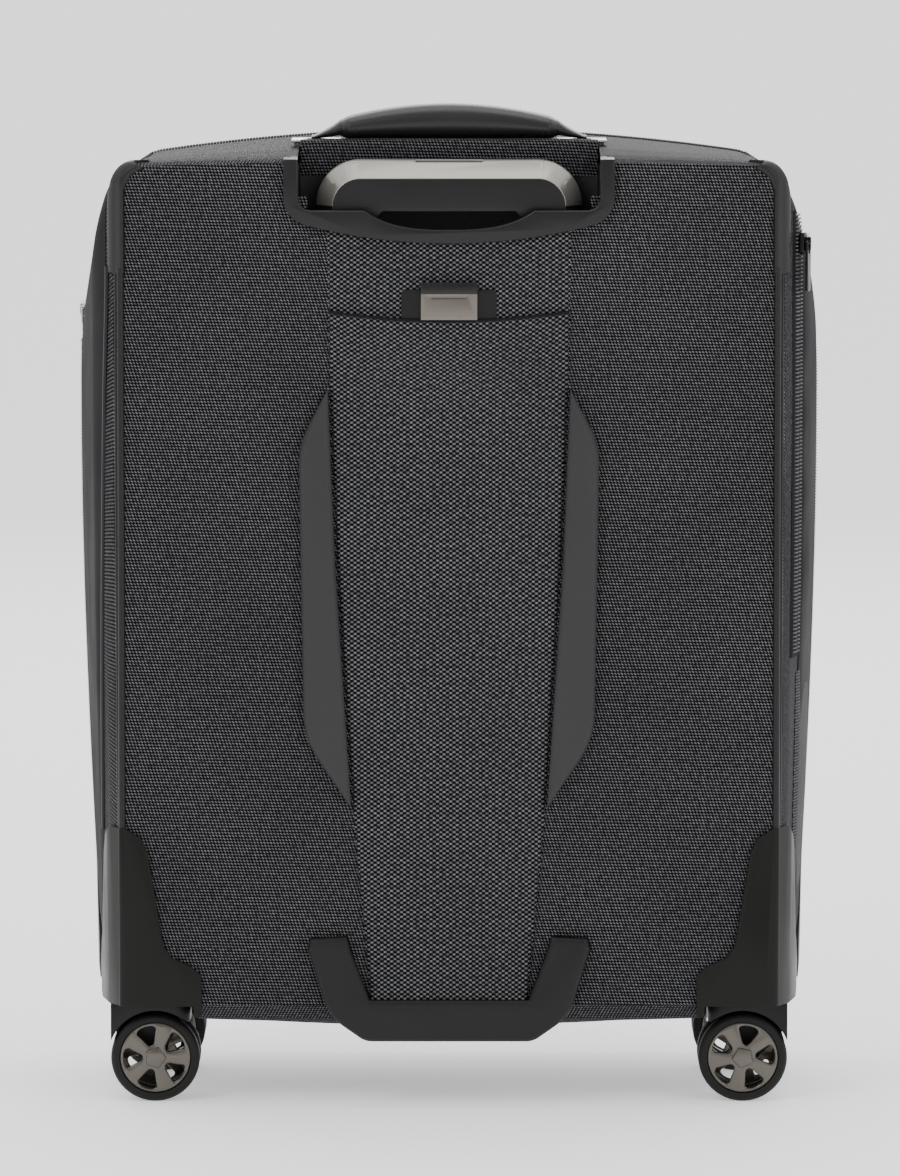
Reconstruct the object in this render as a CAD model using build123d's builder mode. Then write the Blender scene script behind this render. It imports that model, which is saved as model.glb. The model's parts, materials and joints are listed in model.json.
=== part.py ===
from build123d import *
import os

# A softside cabin suitcase on four twin-wheel casters.
# Frame: millimetres, +Z up, the floor at Z = 0, the back panel with the pull handle towards -Y,
# the lid and its pockets towards +Y. The origin is on the floor under the middle of the case.

os.makedirs("parts", exist_ok=True)

# ---------------------------------------------------------------- driving dimensions
BACK_Y = -94.0  # outer face of the back panel
SHOULDER_Y = -62.0  # where the rounded back shoulder reaches the full width
SPLIT_Y = 62.0  # front edge of the rear tray, at the expander zip
RING_Y = (66.0, 73.0)  # front ring between the two zips
LID_Y = (76.0, 90.0)  # lid, from the main zip to its front face
POCKET_Y = 101.0  # outer face of the front pockets
CASE_Z0 = 47.0  # underside of the belly between the casters
TUNNEL_X, TUNNEL_Z = 137.0, 59.0  # the underside steps up here to make room for the casters
BOTTOM_R = 8.0

# half width at the top, half width at the bottom, top height, top corner radius, at each Y
FORM = (
    (BACK_Y, 178.0, 178.0, 519.0, 8.0),
    (-83.0, 187.0, 184.0, 523.0, 22.0),
    (SHOULDER_Y, 194.0, 188.5, 526.5, 40.0),
    (SPLIT_Y, 205.0, 196.0, 529.0, 58.0),
    (LID_Y[1], 199.0, 191.0, 526.0, 58.0),
)

COVER_T, BOARD_T, LINING_T = 3.0, 2.5, 1.5  # fabric on foam, plastic board, lining
LINING_BACK_Y = -70.0  # the lining runs in front of the handle tubes

# pull handle
TUBE_X, TUBE_Y = 58.0, -80.0
OUTER_TUBE = (22.0, 15.0)
TUBE_WALL = 1.2
TUBE_PLAY = 0.4  # gap all round between one tube and the next
TUBE_STEP = 2 * (TUBE_WALL + TUBE_PLAY)
MIDDLE_TUBE = (OUTER_TUBE[0] - TUBE_STEP, OUTER_TUBE[1] - TUBE_STEP)
INNER_TUBE = (MIDDLE_TUBE[0] - TUBE_STEP, MIDDLE_TUBE[1] - TUBE_STEP)
BEZEL_Z0 = 475.0  # lowest point of the bezel's face
BEZEL_TRAY_Z, BEZEL_FLOOR = 474.0, 478.0  # underside and upper face of the tray's floor
BEZEL_Y = (-99.0, -91.0, -48.0)  # front face, back of the face plate, back of the tray
TRAY_HALF = 86.0
GRIP_HALF, GRIP_Y, GRIP_Z = 72.5, (-89.0, -58.0), (483.0, 519.0)
BUTTON_HALF, BUTTON_Y = 18.0, (-76.5, -64.5)

# carry handle on the top
CARRY_Y = -35.0
CARRY_Z = (528.4, 548.6)

# casters
PIVOT_X = 175.0
PIVOT_Y = {"rear": -62.0, "front": 38.0}
TRAIL = 13.0
WHEEL_R, TYRE_T, WHEEL_W = 24.5, 4.7, 11.0
WEB_HALF = 4.0  # half thickness of the fork's web between the twin wheels
AXLE_R, RUNNING = 2.5, 0.05
FORK_TOP = 55.5
KINGPIN_R, KINGPIN_TOP = 4.0, 62.0
HOOD_IN = 32.3  # how far the fork's hood reaches inboard of the kingpin
BOSS_R, BOSS_Z = 8.0, (56.0, 63.5)

# back face
SKID_T, BRACKET_T, SLEEVE_T = 7.0, 6.5, 3.0
FLAP_Z = 438.0  # where the sleeve's upper panel tucks under the lower one
GUARD_T = 3.0

written = []


def save(shape, name):
    """Label one finished piece and write it as its own STEP file."""
    shape.label = name
    export_step(shape, f"parts/{name}.step")
    written.append(name)


def save_group(shapes, name):
    """Write pieces that always stay together as one node, each still its own solid."""
    save(Compound([solid for shape in shapes for solid in shape.solids()]), name)


def shape_at(y):
    """The case's half widths, top height and corner radius at a depth."""
    y = min(max(y, FORM[0][0]), FORM[-1][0])
    for low, high in zip(FORM, FORM[1:]):
        if y <= high[0]:
            t = (y - low[0]) / (high[0] - low[0])
            return [a + t * (b - a) for a, b in zip(low[1:], high[1:])]
    return list(FORM[-1][1:])


def section_at(y, inset, corner=None):
    """The case's outline at a depth, drawn in by inset."""
    top, bottom, z_top, radius = shape_at(y)
    radius = corner or radius
    top, bottom = top - inset, bottom - inset
    with BuildSketch(Plane.XZ.offset(-y)) as outline:
        with BuildLine():
            Polyline(
                (-bottom, CASE_Z0 + inset),
                (bottom, CASE_Z0 + inset),
                (top, z_top - inset),
                (-top, z_top - inset),
                close=True,
            )
        make_face()
        fillet(outline.vertices().group_by(Axis.Y)[-1], radius=max(radius - inset, 2))
        fillet(outline.vertices().group_by(Axis.Y)[0], radius=BOTTOM_R - min(inset, 5))
    return outline.sketch.faces()[0]


def form(y0, y1, inset=0.0):
    """The case's solid form from y0 to y1, drawn in by inset, stepped up over the casters."""
    depths = [y0] + [f[0] for f in FORM if y0 < f[0] < y1] + [y1]
    sections = [section_at(y, inset) for y in depths]
    inner, reach = TUNNEL_X - inset, 240.0
    with BuildPart() as body:
        loft(sections, ruled=True)
        for side in (-1, 1):
            with Locations((side * (inner + reach) / 2, (y0 + y1) / 2, (TUNNEL_Z + inset) / 2)):
                Box(reach - inner, y1 - y0 + 2, TUNNEL_Z + inset, mode=Mode.SUBTRACT)
    return body.part


def block(x, y, z):
    """A plain box between pairs of limits, for cutting and trimming."""
    with BuildPart() as cut:
        with Locations(((x[0] + x[1]) / 2, (y[0] + y[1]) / 2, (z[0] + z[1]) / 2)):
            Box(x[1] - x[0], y[1] - y[0], z[1] - z[0])
    return cut.part


def prism(points, plane, depth, radii=()):
    """An outline extruded from a plane, with a few of its corners rounded."""
    with BuildPart() as solid:
        with BuildSketch(plane) as outline:
            with BuildLine():
                Polyline(*points, close=True)
            make_face()
            for point, radius in radii:
                corner = outline.vertices().sort_by_distance(Vector(*point, 0))[0]
                fillet(corner, radius=radius)
        extrude(amount=depth)
    return solid.part


def mirrored(points):
    """An outline's right half, and then its mirror image, as one closed run."""
    return list(points) + [(-x, z) for x, z in reversed(points)]


def back_plane(y):
    """The plane at a depth whose extrusions run towards the back."""
    return Plane.XZ.offset(-y)


# ---------------------------------------------------------------- shared forms and cutters
outer_form = form(BACK_Y, SPLIT_Y)
whole_form = form(BACK_Y, LID_Y[1])
inside_cover = form(BACK_Y + COVER_T, SPLIT_Y + 1, COVER_T)
inside_board = form(BACK_Y + COVER_T + 1, SPLIT_Y + 1, COVER_T + BOARD_T)
inside_lining = form(LINING_BACK_Y + LINING_T, SPLIT_Y + 1, COVER_T + BOARD_T + LINING_T)

with BuildPart() as bezel_face:
    with BuildSketch(back_plane(BEZEL_Y[1])):
        with BuildLine():
            ThreePointArc((-78, 485), (0, BEZEL_Z0), (78, 485))
            RadiusArc((78, 485), (90, 500), -16)
            Line((90, 500), (90, 545))
            Line((90, 545), (-90, 545))
            Line((-90, 545), (-90, 500))
            RadiusArc((-90, 500), (-78, 485), -16)
        make_face()
    extrude(amount=BEZEL_Y[1] - BEZEL_Y[0])
bezel_tray = block((-TRAY_HALF, TRAY_HALF), BEZEL_Y[1:], (BEZEL_TRAY_Z, 545))

wells = [block((s * 73 - 12, s * 73 + 12), (CARRY_Y - 11, CARRY_Y + 11), (502, 540)) for s in (-1, 1)]

with BuildPart() as pin_bosses:
    for y in PIVOT_Y.values():
        with Locations(*[(s * PIVOT_X, y, sum(BOSS_Z) / 2) for s in (-1, 1)]):
            Cylinder(BOSS_R, BOSS_Z[1] - BOSS_Z[0])

cutouts = [bezel_face.part, bezel_tray, *wells, *pin_bosses.part.solids()]

# ---------------------------------------------------------------- rear tray
with BuildPart() as rear_cover:
    add(outer_form)
    add(inside_cover, mode=Mode.SUBTRACT)
    add(cutouts, mode=Mode.SUBTRACT)
save(rear_cover.part, "rear_cover")

with BuildPart() as rear_frame:
    add(inside_cover)
    add(inside_board, mode=Mode.SUBTRACT)
    add(block((-240, 240), (-88.5, SPLIT_Y - 1), (0, 600)), mode=Mode.INTERSECT)
    add(cutouts, mode=Mode.SUBTRACT)
save(rear_frame.part, "rear_frame")

with BuildPart() as rear_lining:
    add(inside_board)
    add(block((-240, 240), (LINING_BACK_Y, SPLIT_Y - 1), (0, 600)), mode=Mode.INTERSECT)
    add(inside_lining, mode=Mode.SUBTRACT)
    add(cutouts, mode=Mode.SUBTRACT)
save(rear_lining.part, "rear_lining")

with BuildPart() as back_board:
    with BuildSketch(back_plane(-88.6)):
        with Locations((0, 268)):
            RectangleRounded(340, 408, 12)
    extrude(amount=2.4)
save(back_board.part, "back_board")

# ---------------------------------------------------------------- back panel trim
sleeve_edge = ((43.0, 62.0), (52.0, 156.0), (61.0, 299.0), (65.0, 398.0), (66.0, FLAP_Z))
with BuildPart() as sleeve_lower:
    add(prism(mirrored(sleeve_edge), back_plane(BACK_Y), SLEEVE_T))
    add(block((-28, 28), (-96.6, -95.4), (374, 440)), mode=Mode.SUBTRACT)

with BuildPart() as sleeve_upper:
    add(prism(mirrored(((66.0, FLAP_Z), (66.5, 490.0))), back_plane(BACK_Y), 1.3))
    add(bezel_face.part, mode=Mode.SUBTRACT)
save_group([sleeve_lower.part, sleeve_upper.part], "sleeve_panel")

skid_outline = ((66.0, 396.0), (82.0, 366.0), (79.5, 204.0), (53.5, 166.0), (62.0, 299.0))
skid_bars = []
for side in (-1, 1):
    points = [(side * x, z) for x, z in skid_outline]
    rounded = [((side * 82.0, 366.0), 44), ((side * 79.5, 204.0), 48)]
    with BuildPart() as skid_bar:
        add(prism(points, back_plane(BACK_Y), SKID_T, rounded))
        chamfer(skid_bar.faces().sort_by(Axis.Y)[0].edges(), length=2)
    skid_bars.append(skid_bar.part)
save_group(skid_bars, "skid_bars")

with BuildPart() as edge_piping:
    for side in (-1, 1):
        with Locations((side * 178.6, BACK_Y - 0.4, (150 + 459) / 2)):
            Cylinder(2.2, 459 - 150)
    add(whole_form, mode=Mode.SUBTRACT)
piping_part = edge_piping.part

wrap_skin = form(BACK_Y - 2, SPLIT_Y, -2.0)
with BuildPart() as corner_wraps:
    add(wrap_skin)
    add(outer_form, mode=Mode.SUBTRACT)
    add([block((s * 188 - 12, s * 188 + 12), (-98, -82), (459, 530)) for s in (-1, 1)],
        mode=Mode.INTERSECT)
save(corner_wraps.part, "corner_wraps")

# ---------------------------------------------------------------- corner guards over the casters
guard_form = form(BACK_Y - GUARD_T, SPLIT_Y, -GUARD_T)
guard_face = ((178, 155), (168.6, 149), (165, 141), (156.6, 89.5), (152, 83), (141, 78), (135.7, 73),
              (135.7, 50), (210, 50), (210, 155))
guard_side = {
    "rear": ((-100, 155), (-86, 155), (-76, 149), (-72, 140), (-64, 92), (-60, 85), (-46, 78),
             (-36, 72), (-36, 50), (-100, 50)),
    "front": ((61.5, 150), (48, 150), (40, 143), (33, 92), (28, 85), (16, 78), (8, 72), (8, 50),
              (61.5, 50)),
}
guard_parts = []
for end in ("rear", "front"):
    flank, pair = prism(guard_side[end], Plane.YZ.offset(-220), 440), []
    for name, side in (("left", -1), ("right", 1)):
        points = [(side * x, z) for x, z in guard_face]
        if end == "front":
            points = [(side * 130, 50), (side * 130, 160), (side * 210, 160), (side * 210, 50)]
        face = prism(points, back_plane(SPLIT_Y), 170)
        pivot = (side * PIVOT_X, PIVOT_Y[end])
        with BuildPart() as guard:
            add(guard_form)
            add(outer_form, mode=Mode.SUBTRACT)
            add(face, mode=Mode.INTERSECT)
            add(flank, mode=Mode.INTERSECT)
            with Locations((*pivot, sum(BOSS_Z) / 2)):
                Cylinder(BOSS_R, BOSS_Z[1] - BOSS_Z[0])
            with Locations((*pivot, BOSS_Z[0] + 4)):
                Cylinder(KINGPIN_R + RUNNING, 10, mode=Mode.SUBTRACT)
        pair.append(guard.part)
    guard_parts += pair
    save_group(pair, f"{end}_guards")

with BuildPart() as edge_piping:
    add(piping_part)
    add(guard_parts, mode=Mode.SUBTRACT)
save(edge_piping.part, "edge_piping")

# ---------------------------------------------------------------- lift bracket at the bottom
bracket_outline = mirrored(
    ((46.0, 37.0), (66.0, 51.0), (77.5, 88.0), (76.0, 94.0), (56.0, 95.0), (54.0, 88.0), (43.5, 60.0))
)
with BuildPart() as lift_bracket:
    add(prism(bracket_outline, back_plane(BACK_Y), BRACKET_T,
              [((66, 51), 30), ((-66, 51), 30), ((46, 37), 12), ((-46, 37), 12)]))
    chamfer(lift_bracket.faces().sort_by(Axis.Y)[0].edges(), length=1.8)
    add(block((-47, 47), (BACK_Y - 0.01, -58), (37.5, CASE_Z0)))
    add(block((-40, 40), (-86, -64), (36, 43.5)), mode=Mode.SUBTRACT)
    fillet(lift_bracket.edges().filter_by(Axis.Z).group_by(Axis.Y)[-1], radius=14)
    add(sleeve_lower.part, mode=Mode.SUBTRACT)
save(lift_bracket.part, "lift_bracket")

# ---------------------------------------------------------------- handle bezel
bezel_crown = ((-100, 470), (-100, 521), (BACK_Y, 521), (-83, 524.8), (SHOULDER_Y, 528.3), (-40, 528.8),
               (-40, 470))
with BuildPart() as handle_bezel:
    add(bezel_face.part)
    add(bezel_tray)
    add(prism(bezel_crown, Plane.YZ.offset(-100), 200), mode=Mode.INTERSECT)
    add(block((-82, 82), (-91, -52), (BEZEL_FLOOR, 545)), mode=Mode.SUBTRACT)
    with BuildSketch(back_plane(-90)):
        with BuildLine():
            Line((-82, 545), (-82, 500))
            RadiusArc((-82, 500), (-75, 493), -7)
            Line((-75, 493), (-46, 493))
            Spline((-46, 493), (0, 482.5), (46, 493), tangents=((0.8, -0.6), (0.8, 0.6)))
            Line((46, 493), (75, 493))
            RadiusArc((75, 493), (82, 500), -7)
            Line((82, 500), (82, 545))
            Line((82, 545), (-82, 545))
        make_face()
    extrude(amount=12, mode=Mode.SUBTRACT)
    hole = (MIDDLE_TUBE[0] + 2 * TUBE_PLAY, MIDDLE_TUBE[1] + 2 * TUBE_PLAY)
    with BuildSketch(Plane.XY.offset(BEZEL_TRAY_Z - 1)):
        with Locations((-TUBE_X, TUBE_Y), (TUBE_X, TUBE_Y)):
            RectangleRounded(*hole, 3)
    extrude(amount=8, mode=Mode.SUBTRACT)
save(handle_bezel.part, "handle_bezel")


# ---------------------------------------------------------------- pull handle tubes
def tube_pair(size, z0, z1, radius):
    """Two upright rounded tubes, one each side."""
    bore = (size[0] - 2 * TUBE_WALL, size[1] - 2 * TUBE_WALL)
    with BuildPart() as pair:
        with BuildSketch(Plane.XY.offset(z0)):
            with Locations((-TUBE_X, TUBE_Y), (TUBE_X, TUBE_Y)):
                RectangleRounded(*size, radius)
                RectangleRounded(*bore, radius - TUBE_WALL, mode=Mode.SUBTRACT)
        extrude(amount=z1 - z0)
    return pair.part


with BuildPart() as trolley_foot:
    add(block((-76, 76), (-88.4, -71), (53, 64)))
    fillet(trolley_foot.edges().filter_by(Axis.Z), radius=5)
save_group([tube_pair(OUTER_TUBE, 64, 474, 5.0), trolley_foot.part], "trolley_outer_tubes")
save(tube_pair(MIDDLE_TUBE, 86, 478, 3.6), "trolley_middle_tubes")
save(tube_pair(INNER_TUBE, 110, 494, 2.6), "trolley_inner_tubes")

with BuildPart() as trolley_grip:
    with BuildSketch(back_plane(GRIP_Y[1])) as grip_face:
        with BuildLine():
            Polyline((-GRIP_HALF, GRIP_Z[0]), (-44, GRIP_Z[0]), (-36, 492), (36, 492), (44, GRIP_Z[0]),
                     (GRIP_HALF, GRIP_Z[0]), (GRIP_HALF, GRIP_Z[1]), (-GRIP_HALF, GRIP_Z[1]),
                     close=True)
        make_face()
        fillet(grip_face.vertices().group_by(Axis.Y)[-1], radius=24)
    extrude(amount=GRIP_Y[1] - GRIP_Y[0])
    brow = trolley_grip.faces().sort_by(Axis.Y)[0].edges().filter_by(Axis.X).group_by(Axis.Z)[-1]
    chamfer(brow, length=9, length2=13, reference=trolley_grip.faces().sort_by(Axis.Y)[0])
    add(block((-64, 64), (-84.5, -63), (494, 507)), mode=Mode.SUBTRACT)
    add(block((-18.5, 18.5), (BUTTON_Y[0] - 0.5, BUTTON_Y[1] + 0.5), (500, 525)), mode=Mode.SUBTRACT)
    with BuildSketch(Plane.XY.offset(482)):
        with Locations((-TUBE_X, TUBE_Y), (TUBE_X, TUBE_Y)):
            RectangleRounded(*INNER_TUBE, 2.6)
    extrude(amount=12, mode=Mode.SUBTRACT)
save(trolley_grip.part, "trolley_grip")

with BuildPart() as release_button:
    add(block((-BUTTON_HALF, BUTTON_HALF), BUTTON_Y, (506, 518.6)))
    fillet(release_button.edges().filter_by(Axis.Z), radius=4)

with BuildPart() as release_rods:
    add(block((-60, 60), (-82, -66), (502, 506)))
    with Locations((-TUBE_X, TUBE_Y, 316), (TUBE_X, TUBE_Y, 316)):
        Cylinder(1.8, 372)
save_group([release_button.part, release_rods.part], "release_button")

# ---------------------------------------------------------------- carry handle
with BuildPart() as handle_anchors:
    for side in (-1, 1):
        middle = side * 73
        add(block((middle - 12, middle + 12), (CARRY_Y - 11, CARRY_Y + 11), (502, 527.6)))
        add(block((middle - 13.5, middle + 13.5), (CARRY_Y - 12.5, CARRY_Y + 12.5), (527.6, 529.1)))
        add(block((middle - 5, middle + 5), (CARRY_Y - 9, CARRY_Y + 9), (504, 540)),
            mode=Mode.SUBTRACT)
save(handle_anchors.part, "handle_anchors")

with BuildPart() as carry_handle:
    with BuildSketch(back_plane(CARRY_Y + 13)):
        with BuildLine():
            ThreePointArc((-58, 540), (0, CARRY_Z[1]), (58, 540))
            Line((58, 540), (57, CARRY_Z[0]))
            Line((57, CARRY_Z[0]), (-57, CARRY_Z[0]))
            Line((-57, CARRY_Z[0]), (-58, 540))
        make_face()
    extrude(amount=26)
    fillet(carry_handle.edges().filter_by(Axis.Y), radius=3)
    strap = ((56, 534), (57, 540.5), (76, 532), (76, 508), (70, 508), (70, 529.6))
    for side in (-1, 1):
        with BuildSketch(back_plane(CARRY_Y + 8)):
            with BuildLine():
                Polyline(*[(side * x, z) for x, z in strap], close=True)
            make_face()
        extrude(amount=16)
save(carry_handle.part, "carry_handle")

# ---------------------------------------------------------------- address tag
with BuildPart() as address_tag:
    add(block((-15.5, 15.5), (-99.8, -97.4), (433.5, 454)))
    chamfer(address_tag.faces().sort_by(Axis.Y)[0].edges(), length=0.5)
    add(block((-10, 10), (-99.9, -98.6), (445.2, 446.8)), mode=Mode.SUBTRACT)
    add(block((-12, 12), (-97.5, -96.3), (440, 452)))

with BuildPart() as address_card:
    add(block((-26, 26), (-96.3, -95.7), (378, 450)))
    fillet(address_card.edges().filter_by(Axis.Y), radius=3)
save_group([address_tag.part, address_card.part], "address_tag")


# ---------------------------------------------------------------- trim that follows the form
def skin_patch(thickness, x, y, z, y0=BACK_Y, y1=LID_Y[1]):
    """A patch of even thickness on the outside of the form, inside a box."""
    grown = form(y0, y1, -thickness)
    window = block(x, y, z)
    with BuildPart() as patch:
        add(grown)
        add(whole_form, mode=Mode.SUBTRACT)
        add(window, mode=Mode.INTERSECT)
    return patch.part


save(skin_patch(1.8, (150, 215), (-81.5, -70), (247, 486)), "side_pocket_zip")
save(skin_patch(5.0, (150, 215), (-62, 40), (240, 480)), "side_pocket")
save(skin_patch(1.5, (150, 215), (66.5, 74.2), (120, 460)), "lid_hinge_tape")


def ring(y0, y1, outset, inset):
    """A band that follows the form's outline."""
    outside, inside = form(y0, y1, -outset), form(y0 - 1, y1 + 1, inset)
    with BuildPart() as band:
        add(outside)
        add(inside, mode=Mode.SUBTRACT)
    return band.part


save(ring(62.0, 63.8, 0.6, 3), "expander_zip_rear")
save(ring(64.2, 66.0, 0.6, 3), "expander_zip_front")
for name, y0, y1 in (("main_zip_ring_side", 73.0, 74.3), ("main_zip_lid_side", 74.7, 76.0)):
    band, hinge_gap = ring(y0, y1, 0.6, 3), block((150, 215), (70, 80), (100, 470))
    with BuildPart() as zip_half:
        add(band)
        add(hinge_gap, mode=Mode.SUBTRACT)
    save(zip_half.part, name)

# ---------------------------------------------------------------- front ring and expander gusset
save(ring(*RING_Y, 0, COVER_T), "front_cover")
save(ring(RING_Y[0], RING_Y[1] - 0.5, -COVER_T, COVER_T + BOARD_T), "front_frame")

GUSSET_Y, GUSSET_T = 26.0, 1.5
GUSSET_INSET = COVER_T + BOARD_T + LINING_T + 0.8


def straight_sleeve(inset):
    """The expander's sleeve: one outline drawn straight forwards, stepped over the casters."""
    depth = RING_Y[1] - 1 - GUSSET_Y
    with BuildPart() as sleeve:
        extrude(to_extrude=section_at(GUSSET_Y, inset, 60), amount=depth, dir=(0, 1, 0))
        for side in (-1, 1):
            step = TUNNEL_X - inset
            with Locations((side * (step + 240) / 2, 50, (TUNNEL_Z + inset) / 2)):
                Box(240 - step, 80, TUNNEL_Z + inset, mode=Mode.SUBTRACT)
    return sleeve.part


with BuildPart() as expander_gusset:
    add(straight_sleeve(GUSSET_INSET))
    add(ring(RING_Y[0] + 1, RING_Y[0] + 3, -(COVER_T + BOARD_T + 0.1), GUSSET_INSET))
    add(straight_sleeve(GUSSET_INSET + GUSSET_T), mode=Mode.SUBTRACT)
save(expander_gusset.part, "expander_gusset")

# ---------------------------------------------------------------- lid
lid_out, lid_hollow = form(*LID_Y), form(LID_Y[0] - 1, LID_Y[1] - COVER_T, COVER_T)
with BuildPart() as lid_cover:
    add(lid_out)
    add(lid_hollow, mode=Mode.SUBTRACT)
save(lid_cover.part, "lid_cover")

board_out = form(LID_Y[0] + 0.5, LID_Y[1] - COVER_T, COVER_T)
board_in = form(LID_Y[0] - 1, LID_Y[1] - COVER_T - 2, COVER_T + 2)
with BuildPart() as lid_board:
    add(board_out)
    add(board_in, mode=Mode.SUBTRACT)
save(lid_board.part, "lid_board")

pockets = []
for z0, z1, half in ((372, 496, 170), (74, 362, 172)):
    with BuildPart() as pocket:
        add(block((-half, half), (LID_Y[1], POCKET_Y), (z0, z1)))
        fillet(pocket.edges().filter_by(Axis.Y), radius=24)
        fillet(pocket.faces().sort_by(Axis.Y)[-1].edges(), radius=7)
    pockets.append(pocket.part)
save_group(pockets, "front_pockets")

# ---------------------------------------------------------------- zip sliders and pulls
def zip_slider(place):
    """A slider whose bridge holds the cross bar of its pull; local X points away from the case."""
    with BuildPart() as slider:
        add(block((-4.6, -1.4), (-3.75, 3.75), (-6, 6)))
        fillet(slider.edges().filter_by(Axis.X), radius=2.5)
        add(block((-1.5, 1.6), (-0.75, 0.75), (-3.6, 3.6)))
        add(block((-1.1, 1.0), (-1, 1), (-1.3, 1.3)), mode=Mode.SUBTRACT)
    return slider.part.moved(place)


def zip_pull(place, length, width):
    """The tab that hangs from a slider's bridge on its own cross bar."""
    with BuildPart() as pull:
        add(block((-0.7, 0.7), (-width / 2, width / 2), (-length, 1.1)))
        fillet(pull.edges().filter_by(Axis.X).group_by(Axis.Z)[0], radius=2)
        add(block((-3, 3), (-1.4, 1.4), (-5.4, 2)), mode=Mode.SUBTRACT)
        with Locations(Location((0, 0, 0), (90, 0, 0))):
            Cylinder(0.7, 5)
    return pull.part.moved(place)


def edge_x(y, z):
    """Half width of the case at a depth and a height."""
    top, bottom, z_top, radius = shape_at(y)
    return bottom + (top - bottom) * (z - CASE_Z0) / (z_top - CASE_Z0)


SLIDER_GAP = 6.6  # from the case's form to the bar that carries the pull
MAIN_ZIP_Y = 74.7
for name, z, length, width in (("upper", 427, 12.5, 7.5), ("lower", 407, 35, 9)):
    origin = (-edge_x(MAIN_ZIP_Y, z) - SLIDER_GAP, MAIN_ZIP_Y, z)
    place = Location(Plane(origin=origin, x_dir=(-1, 0, 0), z_dir=(0, 0, 1)))
    save(zip_slider(place), f"main_slider_{name}")
    save(zip_pull(place, length, width), f"main_pull_{name}")

POCKET_ZIP_Y, POCKET_SLIDER_Z = -75.7, 474.0
run = edge_x(-62, POCKET_SLIDER_Z) - edge_x(-83, POCKET_SLIDER_Z)
outward = Vector(21, -run, 0).normalized()
on_face = Vector(edge_x(POCKET_ZIP_Y, POCKET_SLIDER_Z), POCKET_ZIP_Y, POCKET_SLIDER_Z)
place = Location(Plane(origin=on_face + outward * 7.1, x_dir=outward, z_dir=(0, 0, 1)))
save(zip_slider(place), "side_pocket_slider")
save(zip_pull(place, 26, 7), "side_pocket_pull")


# ---------------------------------------------------------------- casters
def caster(end, name, side):
    """A fork that swivels on its kingpin, with twin wheels that trail towards the middle."""
    x0, y0 = side * PIVOT_X, PIVOT_Y[end]
    axle_x = x0 - side * TRAIL
    hood = [(x0 + side * 11.5, FORK_TOP), (x0 + side * 11.5, 31), (axle_x, 31),
            (x0 - side * 26, 43), (x0 - side * HOOD_IN, 44), (x0 - side * HOOD_IN, FORK_TOP)]
    web = [(x0 + side * 9, 50), (x0 + side * 9, 36), (axle_x + side * 5.4, 19.5),
           (axle_x - side * 6, 24.5), (x0 - side * 24, 51)]
    with BuildPart() as fork:
        add(prism(hood, back_plane(y0 + 16), 32))
        uprights = fork.edges().filter_by(Axis.Z).group_by(Axis.X)
        fillet(uprights[0 if side > 0 else -1], radius=9)
        with Locations(Location((axle_x, y0, WHEEL_R), (90, 0, 0))):
            Cylinder(WHEEL_R + 1.6, 40, mode=Mode.SUBTRACT)
        add(prism(web, back_plane(y0 + WEB_HALF), 2 * WEB_HALF))
        with Locations(Location((axle_x, y0, WHEEL_R), (90, 0, 0))):
            Cylinder(6, 2 * WEB_HALF)
            Cylinder(AXLE_R, 40, mode=Mode.SUBTRACT)
        with Locations((x0, y0, FORK_TOP - 2)):
            Cylinder(KINGPIN_R, 6, mode=Mode.SUBTRACT)
    with BuildPart() as kingpin:
        with Locations((x0, y0, (FORK_TOP - 5 + KINGPIN_TOP) / 2)):
            Cylinder(KINGPIN_R, KINGPIN_TOP - FORK_TOP + 5)
    with BuildPart() as axle:
        with Locations(Location((axle_x, y0, WHEEL_R), (90, 0, 0))):
            Cylinder(AXLE_R, 30)
    save_group([fork.part, kingpin.part, axle.part], f"{end}_{name}_fork")
    for wheel, way in (("aft", -1), ("fore", 1)):
        middle = y0 + way * (WEB_HALF + 0.8 + WHEEL_W / 2)
        with BuildPart() as tyre:
            with Locations(Location((axle_x, middle, WHEEL_R), (90, 0, 0))):
                Cylinder(WHEEL_R, WHEEL_W)
                Cylinder(WHEEL_R - TYRE_T, WHEEL_W, mode=Mode.SUBTRACT)
            rims = tyre.edges().filter_by(GeomType.CIRCLE)
            fillet(rims.filter_by(lambda e: e.radius > WHEEL_R - 1), radius=3)
        save(tyre.part, f"{end}_{name}_tyre_{wheel}")
        save(rim(axle_x, middle, way), f"{end}_{name}_rim_{wheel}")


def rim(x, y, way):
    """A spoked rim: a band, a hub and five spokes near the outer face."""
    outer, width = WHEEL_R - TYRE_T, WHEEL_W - 1.4
    with BuildPart() as wheel:
        with Locations(Location((x, y, WHEEL_R), (90, 0, 0))):
            Cylinder(outer, width)
            Cylinder(outer - 2, width, mode=Mode.SUBTRACT)
            Cylinder(5.6, width)
        face = y + way * width / 2
        with BuildSketch(Plane.XZ.offset(-(face if way < 0 else face - 3.6))):
            with Locations((x, WHEEL_R)):
                with PolarLocations(0, 5, start_angle=90):
                    Trapezoid(8.6, outer - 1, 83, align=(Align.CENTER, Align.MIN))
        extrude(amount=3.6 if way > 0 else -3.6)
        with Locations(Location((x, y, WHEEL_R), (90, 0, 0))):
            Cylinder(AXLE_R + RUNNING, 40, mode=Mode.SUBTRACT)
    return wheel.part


for end in ("rear", "front"):
    for name, side in (("left", -1), ("right", 1)):
        caster(end, name, side)

# ---------------------------------------------------------------- screws
with BuildPart() as screws:
    with Locations(*[(s * 75, -57.5, BEZEL_FLOOR + 0.75) for s in (-1, 1)]):
        Cylinder(2.6, 1.5)
    with Locations(*[(s * 36, -79.5, 64.75) for s in (-1, 0, 1)]):
        Cylinder(3, 1.5)
save(screws.part, "screws")

print(len(written), "pieces")
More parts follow.
